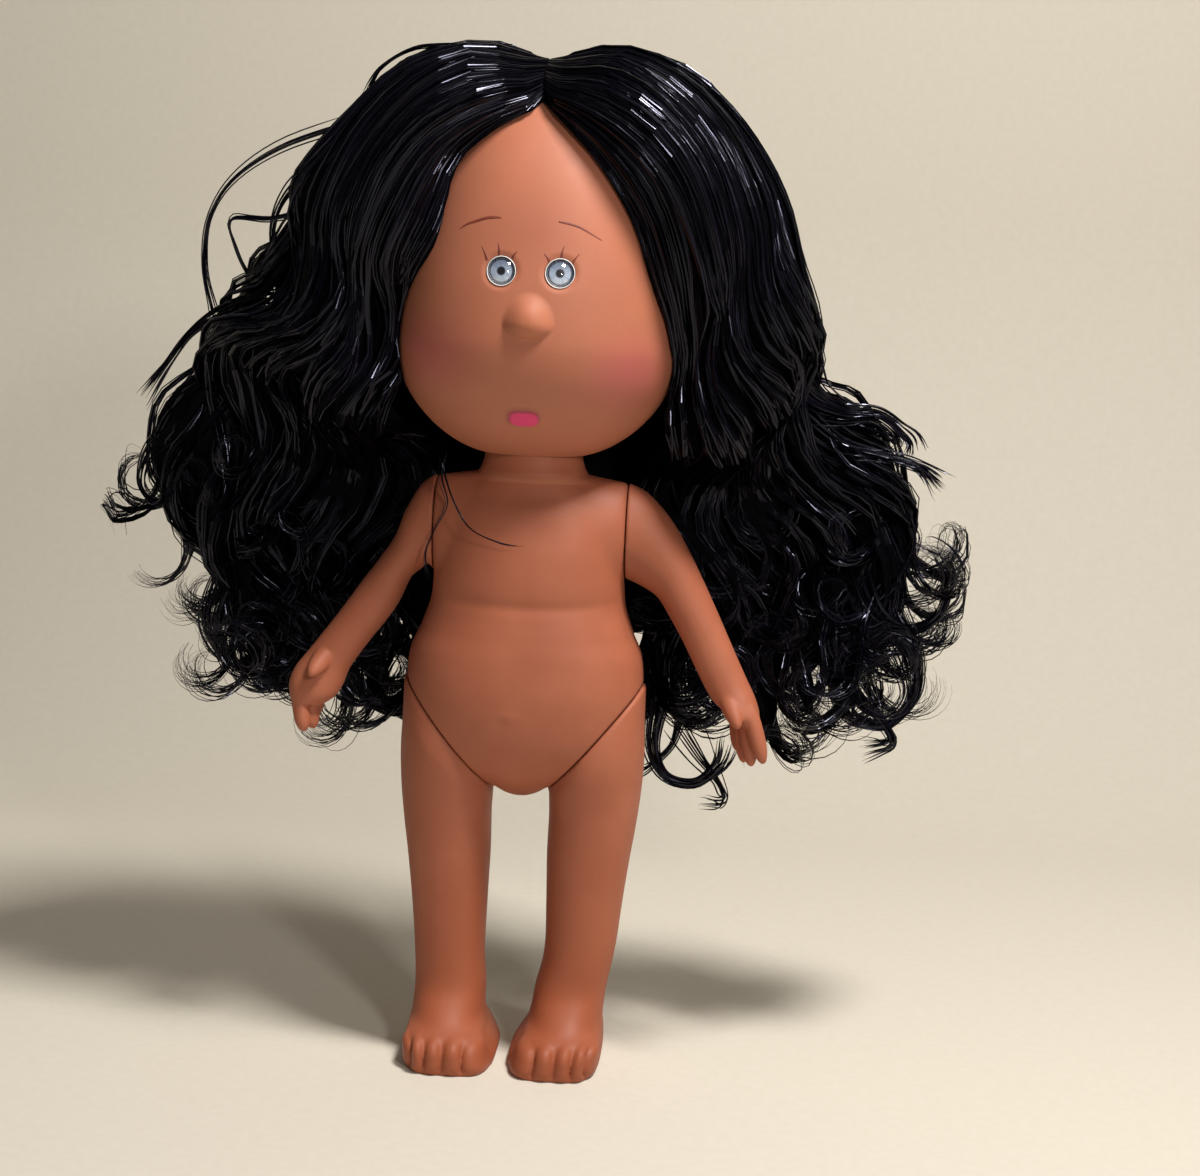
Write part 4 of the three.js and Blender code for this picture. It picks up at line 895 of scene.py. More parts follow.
def make_eyes(white, lens):
    """White cup with a thin rounded lip, domed printed eye and clear shell, once on each side."""
    rim_x = EYE_X + EYE_RADIUS * np.array([1, -1, 0, 0])
    rim_z = EYE_Z + EYE_RADIUS * np.array([0, 0, 1, -1])
    rim_y = face_depth_at(rim_x, rim_z)
    seat = (rim_y.mean() + EYE_SINK, (rim_y[0] - rim_y[1]) / (2 * EYE_RADIUS),
            (rim_y[2] - rim_y[3]) / (2 * EYE_RADIUS))
    lip = np.linspace(0, math.pi, 9)
    wide = EYE_HOLE + 0.1
    middle, half = (wide + PRINT_RADIUS) / 2, (wide - PRINT_RADIUS) / 2
    cup = [(0.05, -5.4), (3.4, -5.4), (EYE_HOLE - 0.1, -4.9), (wide, -1.5)]
    cup += [(middle + half * math.cos(a), 0.05 + 0.3 * math.sin(a)) for a in lip]
    cup += [(PRINT_RADIUS, -2.2), (0.05, -2.2)]
    bend = np.linspace(0, math.pi / 2 - 0.01, 20)
    edge = PRINT_RADIUS - 0.05
    print_dome = [(0.02, -1.9), (edge, -1.9)]
    arc = [(edge * math.cos(a), dome_rise(edge * math.cos(a)) - dome_rise(edge)) for a in bend]
    print_dome += [(r, PRINT_FLATNESS * h - PRINT_SINK) for r, h in arc]
    shell = [(r, h - SHELL_INSIDE) for r, h in arc[::-1]]
    shell += [(r, h - SHELL_OUTSIDE) for r, h in arc]
    for name, side in SIDES:
        lathe_eye(f"eye_rim_{name}", cup, side, seat, white, f"eye_cup_{name}")
        lathe_eye(f"eye_print_{name}", print_dome, side, seat, iris_material(f"iris_{name}", side),
                  f"eye_iris_{name}")
        lathe_eye(f"eye_shell_{name}", shell, side, seat, lens, f"eye_lens_{name}")


PAINT_RISE, PAINT_LIFT, PAINT_ROOT = 0.05, 0.04, 0.25


def painted_line(name, path, half_widths, material):
    """A brushed line on the face: x, z path points carried onto the face, as a closed flat
    band whose half width runs through half_widths and whose middle stands a little proud."""
    line, half = smooth_table(path, 30), smooth_table(half_widths, 30)
    along = unit(np.gradient(line, axis=0))
    across = np.stack([-along[:, 1], along[:, 0]], -1)
    offsets = np.array([-1.0, -0.5, 0.0, 0.5, 1.0])
    spread = line[:, None, :] + across[:, None, :] * (offsets[None, :, None] * half[:, None, None])
    y = face_relief(spread[..., 0], face_depth_at(spread[..., 0], spread[..., 1]), spread[..., 1])
    top = y - PAINT_RISE * (1 - offsets[None, :] ** 2) - PAINT_LIFT
    under = y[:, ::-1] + PAINT_ROOT
    front = np.stack([spread[..., 0], top, spread[..., 1]], -1)
    rear = np.stack([spread[:, ::-1, 0], under, spread[:, ::-1, 1]], -1)
    piece = loft(name, np.concatenate([front, rear], axis=1), material)
    recalculate_outward(piece)
    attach(piece, "head")


def recalculate_outward(piece):
    """Turns all faces of a closed piece outwards."""
    work = bmesh.new()
    work.from_mesh(piece.data)
    bmesh.ops.recalc_face_normals(work, faces=work.faces)
    work.to_mesh(piece.data)
    work.free()


# Brows and lashes as x, z in mm from the middle of the face; the two sides differ a little.
BROWS = {
    "right": ((-20.6, 246.6), (-18.4, 248.0), (-16.2, 248.8), (-13.2, 249.8), (-11.0, 250.1),
              (-8.8, 250.1)),
    "left": ((7.0, 249.7), (8.5, 249.5), (10.4, 249.1), (12.5, 248.5), (14.4, 247.6), (18.8, 245.1)),
}
BROW_HALF_WIDTHS = {"right": (0.10, 0.28, 0.37, 0.40, 0.38, 0.20),
                    "left": (0.22, 0.31, 0.31, 0.29, 0.25, 0.10)}
LASHES = {
    "right": (((-12.2, 238.4), (-13.9, 242.1)), ((-8.9, 239.6), (-9.4, 243.3)),
              ((-5.2, 239.0), (-3.9, 241.2))),
    "left": (((5.1, 238.6), (3.5, 240.9)), ((8.3, 239.5), (8.9, 243.2)),
             ((11.1, 238.0), (13.1, 241.2))),
}


def make_paint(brown):
    """Painted brows and three lashes over each eye, bent a little and pointed at the tip."""
    for name, path in BROWS.items():
        painted_line(f"brow_{name}", path, BROW_HALF_WIDTHS[name], brown)
    for name, strokes in LASHES.items():
        for index, (root, tip) in enumerate(strokes):
            lean = 0.22 if tip[0] > root[0] else -0.22
            bend = ((root[0] + tip[0]) / 2 - lean, (root[1] + tip[1]) / 2)
            painted_line(f"lash_{name}_{index}", (root, bend, tip), (0.38, 0.27, 0.08), brown)


# Hair: guide curves, tufts and strands

# The bare face's edge from the parting down past the cheek, as x (outwards) and z.
HAIRLINE = {
    "left": ((1.6, 283.4), (5.6, 279.0), (10.2, 274.5), (15.7, 269.0), (21.3, 261.6), (25.5, 254.8),
             (28.7, 248.7), (31.6, 239.9), (34.9, 229.9), (37.5, 223.2), (39.2, 215.2)),
    "right": ((-0.6, 283.6), (4.0, 280.3), (11.0, 277.0), (17.5, 272.0), (22.5, 266.9), (24.4, 263.0),
              (25.3, 258.4), (26.2, 251.8), (28.1, 244.0), (31.2, 236.6), (35.4, 228.8), (38.0, 223.1),
              (39.4, 216.9)),
}
# The fall below the cheek of the strands that border the face: x, y, z.
HAIRLINE_FALL = {
    "left": ((40.5, -9, 207), (40, -9, 198), (38, -7, 190), (35, 0, 182), (32, 10, 174), (31, 16, 162),
             (33, 19, 149), (36, 20, 136), (38, 21, 124), (41, 21, 112)),
    "right": ((40.5, -9, 208), (40.5, -9, 199), (38, -7, 190), (34, 0, 181), (31, 10, 173), (31, 16, 160),
              (35, 19, 147), (38, 20, 133), (38, 20, 121), (36, 20, 110)),
}
# The other guides from the temple round to the middle of the back: the root's place along the
# parting, points over the crown that both sides share as x (outwards), y and z, then the points of
# the left fall and of the right fall.
GUIDES = (
    (-15, ((6, -20, 284.5), (15, -26, 283), (27, -29, 275), (37, -28, 262), (44, -26, 246)),
     ((48, -23, 230), (51, -18, 214), (52, -14, 200), (51, -9, 188), (50, 1, 178), (51, 12, 168),
      (55, 17, 152), (58, 19, 136), (58, 20, 122), (58, 20, 108)),
     ((49, -23, 230), (53, -18, 214), (55, -14, 200), (55, -8, 188), (56, 2, 177), (59, 13, 165),
      (62, 18, 150), (61, 19, 134), (58, 19, 119), (54, 19, 106))),
    (-8, ((9, -15, 290.5), (20, -22, 291), (34, -26, 283), (47, -26, 268), (56, -25, 250),
          (61, -22, 232)),
     ((64, -17, 214), (66, -10, 198), (68, 0, 184), (71, 10, 172), (75, 16, 158), (78, 19, 142),
      (78, 20, 126), (75, 20, 110)),
     ((66, -16, 215), (72, -8, 202), (76, 2, 190), (78, 11, 178), (79, 17, 163), (78, 19, 147),
      (74, 19, 131), (69, 19, 114))),
    (0, ((9, -6, 294), (20, -12, 295.5), (38, -16, 289), (53, -17, 275), (63, -17, 257)),
     ((69, -15, 238), (73, -11, 220), (76, -4, 203), (80, 4, 190), (86, 12, 178), (93, 17, 163),
      (96, 19, 146), (92, 20, 130), (86, 20, 114)),
     ((69, -15, 239), (76, -10, 223), (85, -2, 211), (92, 7, 197), (95, 15, 181), (95, 19, 164),
      (89, 21, 147), (81, 20, 131), (73, 19, 116))),
    (8, ((9, 4, 296), (22, 0, 297.5), (40, -3, 291), (56, -4, 277), (67, -4, 259)),
     ((73, -2, 240), (77, 2, 222), (80, 8, 206), (87, 14, 194), (97, 18, 181), (105, 20, 166),
      (108, 21, 149), (104, 21, 133), (97, 20, 118)),
     ((72, -1, 241), (80, 4, 227), (92, 10, 214), (102, 17, 199), (107, 21, 181), (107, 23, 163),
      (100, 23, 146), (91, 22, 131), (81, 21, 117))),
    (15, ((9, 13, 296), (22, 12, 297.5), (41, 10, 292), (57, 10, 278), (68, 10, 260)),
     ((74, 12, 241), (77, 15, 223), (81, 19, 208), (91, 23, 197), (102, 25, 186), (110, 26, 171),
      (112, 26, 155), (109, 26, 139), (102, 25, 124)),
     ((74, 12, 242), (83, 16, 228), (96, 20, 213), (107, 23, 198), (113, 25, 181), (112, 26, 163),
      (105, 26, 146), (96, 25, 131), (86, 24, 117))),
    (22, ((9, 22, 294), (20, 24, 293.5), (36, 26, 286), (50, 27, 271), (60, 28, 253)),
     ((66, 29, 234), (69, 30, 216), (72, 32, 200), (79, 34, 184), (88, 35, 168), (95, 35, 152),
      (97, 34, 136), (96, 32, 118)),
     ((67, 29, 234), (73, 31, 218), (82, 34, 204), (91, 36, 188), (97, 36, 170), (96, 35, 153),
      (89, 34, 137), (81, 32, 121))),
    (29, ((7, 31, 288), (14, 33, 287), (27, 35, 278), (38, 37, 263), (45, 38, 245)),
     ((49, 38, 227), (51, 38, 208), (53, 40, 190), (57, 42, 172), (62, 42, 155), (66, 40, 138),
      (67, 38, 120), (66, 35, 106)),
     ((50, 38, 226), (54, 40, 208), (58, 42, 190), (63, 42, 172), (67, 41, 155), (68, 39, 138),
      (66, 37, 120), (62, 35, 106))),
    (34, ((4, 37, 282), (8, 39, 280), (14, 41, 270), (18, 43, 256), (21, 44, 239), (22, 44, 221),
          (23, 44, 202), (24, 45, 184), (26, 45, 166), (29, 44, 149), (32, 42, 132), (35, 39, 116),
          (37, 36, 103)), (), ()),
    (37, ((1, 40, 278), (1, 42, 270), (0, 44, 258), (-2, 45, 242), (-3, 45, 224), (-4, 45, 206),
          (-4, 45, 190), (-4, 45, 172), (-3, 44, 155), (-2, 43, 138), (-1, 41, 120), (1, 39, 98)),
     (), ()),
)
GUIDE_POINTS = 30
FALL_STEPS = 38
CURL_STEPS = 16
SMOOTH_STEPS = 7
SMOOTH_SHARE = 0.26
LOCKS_PER_SIDE = 12
TUFTS_PER_LOCK = 9
STRANDS_PER_TUFT = 17
RIBBONS_PER_TUFT = 2
WAVE_START = {"left": 0.34, "right": 0.23}
WILDNESS = {"left": 0.55, "right": 0.75}
GATHER_SHARE = 0.40
DEPTH_AT_ROOT, DEPTH_ON_CROWN, DEPTH_IN_WAVES = 0.8, 1.6, 8.5
RISE_ON_CROWN, RISE_IN_WAVES = 2.2, 1.2
WAVES, WAVE_SWING = 3.9, 5.6
RIPPLES, RIPPLE_ACROSS, RIPPLE_OUT = 10, 0.7, 0.8
CURL_LENGTHS = (26, 58)
STRAND_RADII = (0.14, 0.25)
STRAY_SHARE, STRAY_SPREAD, CALM_SPREAD = 0.07, 3.2, 0.7
RIBBON_HALF_WIDTHS, RIBBON_HALF_THICKNESS = (1.5, 2.3), 0.42
WISP_RADII = (0.19, 0.33)
CHEST_FINENESS = 0.6


def scalp_top(y):
    """Height of the head's middle line at depth y, read back from its section table."""
    z = np.linspace(CHIN + 0.4 * HEAD_HEIGHT, CHIN + HEAD_HEIGHT, 200)
    _, front, back = head_section(z)
    depth = front if y < 0 else back
    return float(np.interp(-abs(y), -depth, z))


def even_guide(points):
    """A guide's points respaced evenly by arc length along its Catmull-Rom curve."""
    fine = smooth_table(points, 300)
    length = np.concatenate([[0], np.cumsum(np.linalg.norm(np.diff(fine, axis=0), axis=1))])
    places = np.linspace(0, length[-1], GUIDE_POINTS)
    return np.stack([np.interp(places, length, fine[:, k]) for k in range(3)], -1)


def seat_on_mass(points):
    """Guide points above the shoulders moved level onto the superellipse of the hair's mass."""
    x, y, z = points[..., 0], points[..., 1], points[..., 2]
    section = section_at(HAIR_SHARES, (z - HAIR_SPLIT) / (HAIR_TOP - HAIR_SPLIT), HAIR_SIZES, 300)
    reach = reach_in(x, y, *section, HEAD_POWER)
    scale = np.clip(reach ** (-1 / HEAD_POWER), 0.8, 1.25)
    weight = smooth_step(182, 208, z) * (1 - smooth_step(276, 286, z))
    weight = weight * (1 - smooth_step(74, 84, np.abs(x)))
    scale = 1 + weight * (scale - 1)
    return np.stack([x * scale, y * scale, z], -1)


def side_guides(name, side):
    """All guides of one side: the hairline's own, lying on the head, then the others."""
    edge = np.array(HAIRLINE[name])
    depth = face_depth_at(edge[:, 0], edge[:, 1]) - 1.6
    border = np.stack([edge[:, 0], depth, edge[:, 1]], -1)
    guides = [even_guide(np.concatenate([border, np.array(HAIRLINE_FALL[name], float)]))]
    for root, crown, left, right in GUIDES:
        points = np.array(crown + (left if side > 0 else right), float)
        start = np.array([[0.1, root, scalp_top(root) + 4.0]])
        guides.append(even_guide(np.concatenate([start, seat_on_mass(points)])))
    return np.stack(guides) * np.array([side, 1, 1])


def on_sheet(guides, across, down):
    """Points of the sheet through the guides at shares across and down it."""
    u = curve_weights(len(guides), np.clip(across, 0, 1).ravel())
    v = curve_weights(GUIDE_POINTS, down.ravel())
    return np.einsum("ng,nk,gkc->nc", u, v, guides, optimize=True).reshape(*across.shape, 3)


def fall_places():
    """Shares down the fall: long steps on the smooth crown, short ones in the waves."""
    index = np.arange(FALL_STEPS)
    return np.interp(index, [0, SMOOTH_STEPS, FALL_STEPS - 1], [0, SMOOTH_SHARE, 1])


def tuft_traits(name):
    """Random traits, one value per tuft, in arrays: where it lies, how deep, how it waves and
    how its end curls."""
    locks, each = LOCKS_PER_SIDE, TUFTS_PER_LOCK
    total = locks * each
    lock = np.repeat(np.arange(locks), each)
    seat = (lock + (np.tile(np.arange(each), locks) + 0.5) / each) / locks
    layer = RNG.permutation(np.linspace(0, 1, total))
    home = (np.arange(locks) + 0.5 + RNG.normal(0, 0.12, locks))[lock]
    home = (home + np.where(layer > 0.5, RNG.choice([-0.5, 0.5], total), 0)) / locks
    return dict(
        seat=seat, home=home, layer=layer,
        start=WAVE_START[name] + RNG.normal(0, 0.03, locks)[lock],
        reach=0.99 - 0.30 * RNG.random(total) ** 1.9,
        swing=RNG.uniform(0.75, 1.2, locks)[lock] * RNG.uniform(0.9, 1.1, total),
        phase=RNG.normal(0, WILDNESS[name], locks)[lock] + RNG.normal(0, 0.30, total),
        pace=RNG.uniform(0.93, 1.07, locks)[lock],
        ripple=RNG.uniform(0, 6.28, total),
        turn=RNG.uniform(2.2, 7.0, total),
        radius=RNG.uniform(6.0, 11.0, total),
        flick=np.where(RNG.random(total) < 0.55, 1.0, -1.0),
        forward=RNG.uniform(-0.9, 0.5, total),
        lift=RNG.uniform(-0.3, 0.6, total),
        drift=RNG.uniform(-0.45, 0.45, total))


def tuft_lines(guides, traits, owner, beside, deeper, side, inset=0.0):
    """Centre lines of strands or ribbons: a fall along the sheet and a curl past its end.

    Across the sheet a line runs from its even place at the parting to its tuft, and the tuft to
    its lock, as it goes down. Off the sheet it stands in by a depth that grows from crown to
    hem. Over that lie a long swing and a short ripple: sideways by sin, outwards by cos.
    """
    pick = {key: value[owner][:, None] for key, value in traits.items()}
    t = fall_places()[None, :]
    gather = smooth_step(0.18, 0.75, t)
    across = pick["seat"] + (pick["home"] - pick["seat"]) * GATHER_SHARE * gather
    across = across + beside[:, None] * (1 - 0.5 * gather) / (LOCKS_PER_SIDE * TUFTS_PER_LOCK)
    down = t * pick["reach"]
    line = on_sheet(guides, across, down)
    sideways = unit(on_sheet(guides, across + 0.015, down) - on_sheet(guides, across - 0.015, down))
    along = unit(np.gradient(line, axis=1))
    outward = side * unit(np.cross(along, sideways))
    sideways = side * np.cross(outward, along)
    deep = (DEPTH_AT_ROOT + DEPTH_ON_CROWN * smooth_step(0.05, 0.3, t)
            + DEPTH_IN_WAVES * smooth_step(0.4, 0.8, down))
    inward = deep * np.clip(pick["layer"] + 0.10 * deeper[:, None], 0, 1)
    grow = smooth_step(pick["start"], pick["start"] + 0.27, down)
    angle = 2 * math.pi * WAVES * pick["pace"] * (down - 0.3) + pick["phase"] + 3.4 * pick["home"]
    small = 2 * math.pi * RIPPLES * (down - 0.3) + pick["ripple"]
    swing = WAVE_SWING * grow * pick["swing"]
    line = line + sideways * (swing * np.sin(angle)
                              + RIPPLE_ACROSS * grow * np.sin(small))[..., None]
    rise = RISE_ON_CROWN + RISE_IN_WAVES * grow - inset * (1 + grow)
    line = line + outward * (0.8 * swing * np.cos(angle) + RIPPLE_OUT * grow * np.cos(small)
                             + rise - inward)[..., None]
    heading = unit(line[:, -1] - line[:, -3])
    bend = np.stack([side * traits["flick"][owner], traits["forward"][owner],
                     traits["lift"][owner]], -1)
    bend = unit(bend - (bend * heading).sum(-1, keepdims=True) * heading)
    axis = np.cross(heading, bend)
    s = np.linspace(0, 1, CURL_STEPS + 1)[1:][None, :]
    turn = (traits["turn"][owner] * (1 + 0.05 * deeper))[:, None]
    length = (traits["turn"] * traits["radius"])[owner]
    length = np.clip(length, *CURL_LENGTHS) * (1 + 0.10 * RNG.uniform(-1, 1, len(owner)))
    bow = turn * (0.35 * s + 0.65 * s**2)
    pace = (np.cos(bow)[..., None] * heading[:, None] + np.sin(bow)[..., None] * bend[:, None]
            + axis[:, None] * (traits["drift"][owner] + 0.10 * beside)[:, None, None])
    curl = line[:, -1:] + np.cumsum(pace, axis=1) * (length / CURL_STEPS)[:, None, None]
    facing = np.sign((axis * sideways[:, -1]).sum(-1, keepdims=True))[:, None]
    blend = smooth_step(0.0, 0.35, s)[..., None]
    turned = sideways[:, -1:] * (1 - blend) + axis[:, None] * facing * blend
    return np.concatenate([line, curl], 1), np.concatenate([sideways, turned], 1)


def strand_mesh(name, lines, radii, widths, idents, material, sides=3, streak=0.0, twist=0.0):
    """Closed prisms along centre lines (strands, steps, 3): each ring has its first axis along
    widths made square to the line, turned by twist (strands, steps), and UV x is the strand's
    number plus streak cos(turn). Their sides are flat, so that single strands catch the light."""
    count, steps, _ = lines.shape
    tangent = unit(np.gradient(lines, axis=1))
    side = unit(widths - (widths * tangent).sum(-1, keepdims=True) * tangent)
    up = np.cross(side, tangent)
    turn = 2 * math.pi * np.arange(sides) / sides
    turned = (turn + np.broadcast_to(twist, lines.shape[:2])[..., None])[..., None]
    ring = (np.cos(turned) * side[:, :, None, :] * radii[..., 0, None, None]
            + np.sin(turned) * up[:, :, None, :] * radii[..., 1, None, None])
    points = lines[:, :, None, :] + ring
    base = (np.arange(count) * steps * sides)[:, None, None]
    row = (np.arange(steps - 1) * sides)[None, :, None]
    i = np.arange(sides)[None, None, :]
    j = (i + 1) % sides
    quads = np.stack([base + row + i, base + row + sides + i, base + row + sides + j,
                      base + row + j], -1).reshape(-1, 4)
    start = base[:, 0, 0, None] + np.arange(sides)[None, :]
    finish = start + (steps - 1) * sides
    ends = np.concatenate([start, finish[:, ::-1]])
    along = np.broadcast_to(np.linspace(0, 1, steps)[None, :, None], (count, steps, sides))
    ident = idents[:, None, None] + streak * np.cos(turn)[None, None, :] + 0 * along
    uv = np.stack([ident.ravel(), along.ravel()], -1)
    return make_mesh(name, points.reshape(-1, 3), [quads, ends], material, uv, smooth=False)


def twists(count, steps):
    """Turn of each strand about its own line: a free start and a slow wave of 0.35 radians."""
    t = np.linspace(0, 1, steps)[None, :]
    start, shift = RNG.uniform(0, 6.28, (2, count, 1))
    return start + 0.35 * np.sin(2 * math.pi * 2.5 * t + shift)


def taper(steps, radius, root=0.55, tip=0.15, start=0.80):
    """Radii (count, steps, 2) that swell from the root and thin out past start."""
    t = np.linspace(0, 1, steps)
    shape = root + (1 - root) * smooth_step(0, 0.12, t)
    shape = shape * (tip + (1 - tip) * (1 - smooth_step(start, 1, t)))
    return np.repeat((radius[:, None] * shape[None, :])[..., None], 2, axis=2)


# How far back the hair keeps, and the heights and the widths over which that limit fades: first
# behind the shoulders and the arms' swing, then behind the seat.
BODY_CLEARANCE = ((14.4, (170, 182), (70, 84)), (27.5, (124, 132), (36, 44)))
HAIR_BOX = ((-130, 130), (-42, 53), (72, 304))
HEAD_CLEARANCE = 1.03
PARTING_GAP, CROSSING = 0.25, 7.0


def limit_hair(lines, side):
    """Keeps strands off the skin: outside the head, behind the arms and torso, within the box,
    and on their own side of the parting, which they cross only low at the back."""
    x, y, z = lines[..., 0], lines[..., 1], lines[..., 2]
    section = head_section(np.clip(z, CHIN + 0.5, CHIN + HEAD_HEIGHT - 0.5))
    reach = reach_in(x, y, *section, HEAD_POWER)
    short = np.clip(HEAD_CLEARANCE / np.maximum(reach ** (1 / HEAD_POWER), 0.05), 1, 3)
    within = (z > CHIN) & (z < CHIN + HEAD_HEIGHT)
    scale = np.where(within, short, 1.0)
    x, y = x * scale, y * scale
    for least, heights, widths in BODY_CLEARANCE:
        near = (1 - smooth_step(*heights, z)) * (1 - smooth_step(*widths, np.abs(x)))
        y = np.maximum(y, least * near + np.minimum(y, least) * (1 - near))
    over = CROSSING * smooth_step(12, 28, y) * (1 - smooth_step(250, 272, z))
    x = side * np.maximum(side * x, PARTING_GAP - over)
    return np.stack([np.clip(v, *limits) for v, limits in zip((x, y, z), HAIR_BOX)], -1)


def dress_hair(piece, *nodes):
    """Hides the CAD hair nodes that the piece stands for, and bakes its place into its mesh."""
    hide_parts(*nodes)
    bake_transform(piece)


BANDS = (("temple", 0.0, 0.25), ("side", 0.25, 0.5), ("rear", 0.5, 0.75), ("nape", 0.75, 1.01))
HAIR_NODES = {
    "left": (("hair_side_left",), ("hair_crown_left", "hair_wave_left", "hair_outer_left"),
             ("hair_inner_left", "hair_hip_curl_left"), ("hair_nape_left", "hair_back_left")),
    "right": (("hair_side_right",), ("hair_crown_right", "hair_outer_right"),
              ("hair_middle_right", "hair_inner_right"), ("hair_nape_right", "hair_back_right")),
}


def make_fall(name, side, material, ribbon_material):
    """One side's hair: fine strands in four bands, and flat ribbons of fused strands among them."""
    guides = side_guides(name, side)
    traits = tuft_traits(name)
    tufts = LOCKS_PER_SIDE * TUFTS_PER_LOCK
    steps = FALL_STEPS + CURL_STEPS
    owner = np.repeat(np.arange(tufts), STRANDS_PER_TUFT)
    total = len(owner)
    beside, deeper = RNG.uniform(-0.75, 0.75, total), RNG.uniform(-1, 1, total)
    lines, widths = tuft_lines(guides, traits, owner, beside, deeper, side)
    t = np.linspace(0, 1, steps)[None, :, None]
    loose = np.where(RNG.random(total) < STRAY_SHARE, STRAY_SPREAD, CALM_SPREAD)[:, None, None]
    lines = lines + RNG.normal(0, 1, (total, 1, 3)) * loose * t ** 1.6
    frizz = np.sin(2 * math.pi * (5 * t + RNG.random((total, 1, 3))))
    lines = limit_hair(lines + frizz * (0.14 + 0.16 * smooth_step(0.2, 0.5, t)), side)
    radii = taper(steps, RNG.uniform(*STRAND_RADII, total))
    idents = RNG.random(total)
    turns = twists(total, steps)
    for (band, low, high), nodes in zip(BANDS, HAIR_NODES[name]):
        mine = (traits["seat"][owner] >= low) & (traits["seat"][owner] < high)
        piece = strand_mesh(f"strands_{band}_{name}", lines[mine], radii[mine], widths[mine],
                            idents[mine], material, twist=turns[mine])
        dress_hair(piece, *nodes)
    owner = np.repeat(np.arange(tufts), RIBBONS_PER_TUFT)
    total = len(owner)
    beside = np.tile(np.linspace(-0.5, 0.5, RIBBONS_PER_TUFT), tufts)
    lines, widths = tuft_lines(guides, traits, owner, beside, RNG.uniform(0, 1.6, total), side,
                               inset=1.5)
    radii = taper(steps, np.ones(total), root=0.5, tip=0.08, start=0.62)
    radii[..., 0] *= RNG.uniform(*RIBBON_HALF_WIDTHS, total)[:, None]
    radii[..., 1] *= RIBBON_HALF_THICKNESS
    piece = strand_mesh(f"ribbons_{name}", limit_hair(lines, side), radii, widths,
                        RNG.random(total), ribbon_material, sides=4, streak=0.02)
    dress_hair(piece)


def make_core(name, side, material):
    """A dark closed sheet inside the fall, which keeps light from passing between the strands."""
    guides = side_guides(name, side)
    u = np.linspace(0.02, 1.0, 60)
    t = np.linspace(0.10, 1.0, 80)
    across, down = np.meshgrid(u, t)
    down = down * (0.88 + 0.03 * np.sin(40 * across) + 0.02 * np.sin(97 * across + 1))
    line = on_sheet(guides, across, down)
    sideways = unit(np.gradient(line, axis=1))
    along = unit(np.gradient(line, axis=0))
    outward = side * unit(np.cross(along, sideways))
    rim = np.sin(math.pi * (0.01 + 0.98 * (across - 0.02) / 0.98)) ** 0.3
    outer = (2.5 + 6.0 * smooth_step(0.3, 0.6, down))[..., None]
    inner = outer + (0.6 + 3.4 * rim * smooth_step(0.3, 0.5, down))[..., None]
    rings = np.concatenate([line - outward * outer, (line - outward * inner)[:, ::-1]], axis=1)
    piece = loft(f"hair_core_{name}", limit_hair(rings, side), material)
    recalculate_outward(piece)
    dress_hair(piece)


SCALP_GROWTH, SCALP_SINK = 1.3, 1.2


def make_scalp(material):
    """A dark cap under the strands: the head's surface grown a little, sunk under the face."""
    table = smooth_table(HEAD_SHARES, 110)
    z = CHIN + table[:, 0] * HEAD_HEIGHT
    section = (table[:, k, None] * size for k, size in enumerate(HEAD_SIZES, 1))
    x, y = superellipse(full_turn(120)[None, :], *section, HEAD_POWER)
    zz = np.repeat(z[:, None], x.shape[1], 1)
    opening = np.zeros_like(zz)
    for name, side in SIDES:
        edge = np.array(HAIRLINE[name])[::-1]
        reach = np.interp(zz, edge[:, 1], edge[:, 0], left=41.0, right=-6.0)
        opening = np.where(x * side > 0, reach, opening)
    bare = (1 - smooth_step(-0.6, 1.2, np.abs(x) - opening)) * (y < 2)
    hidden = np.maximum(bare, 1 - smooth_step(190, 196, zz))
    grow = SCALP_GROWTH * (1 - hidden) - SCALP_SINK * hidden
    scale = 1 + grow / np.maximum(np.hypot(x, y), 1.0)
    lift = 1.2 * smooth_step(270, 289, zz) * (1 - hidden)
    piece = loft("hair_scalp", np.stack([x * scale, y * scale, zz + lift], -1), material)
    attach(piece, "head")


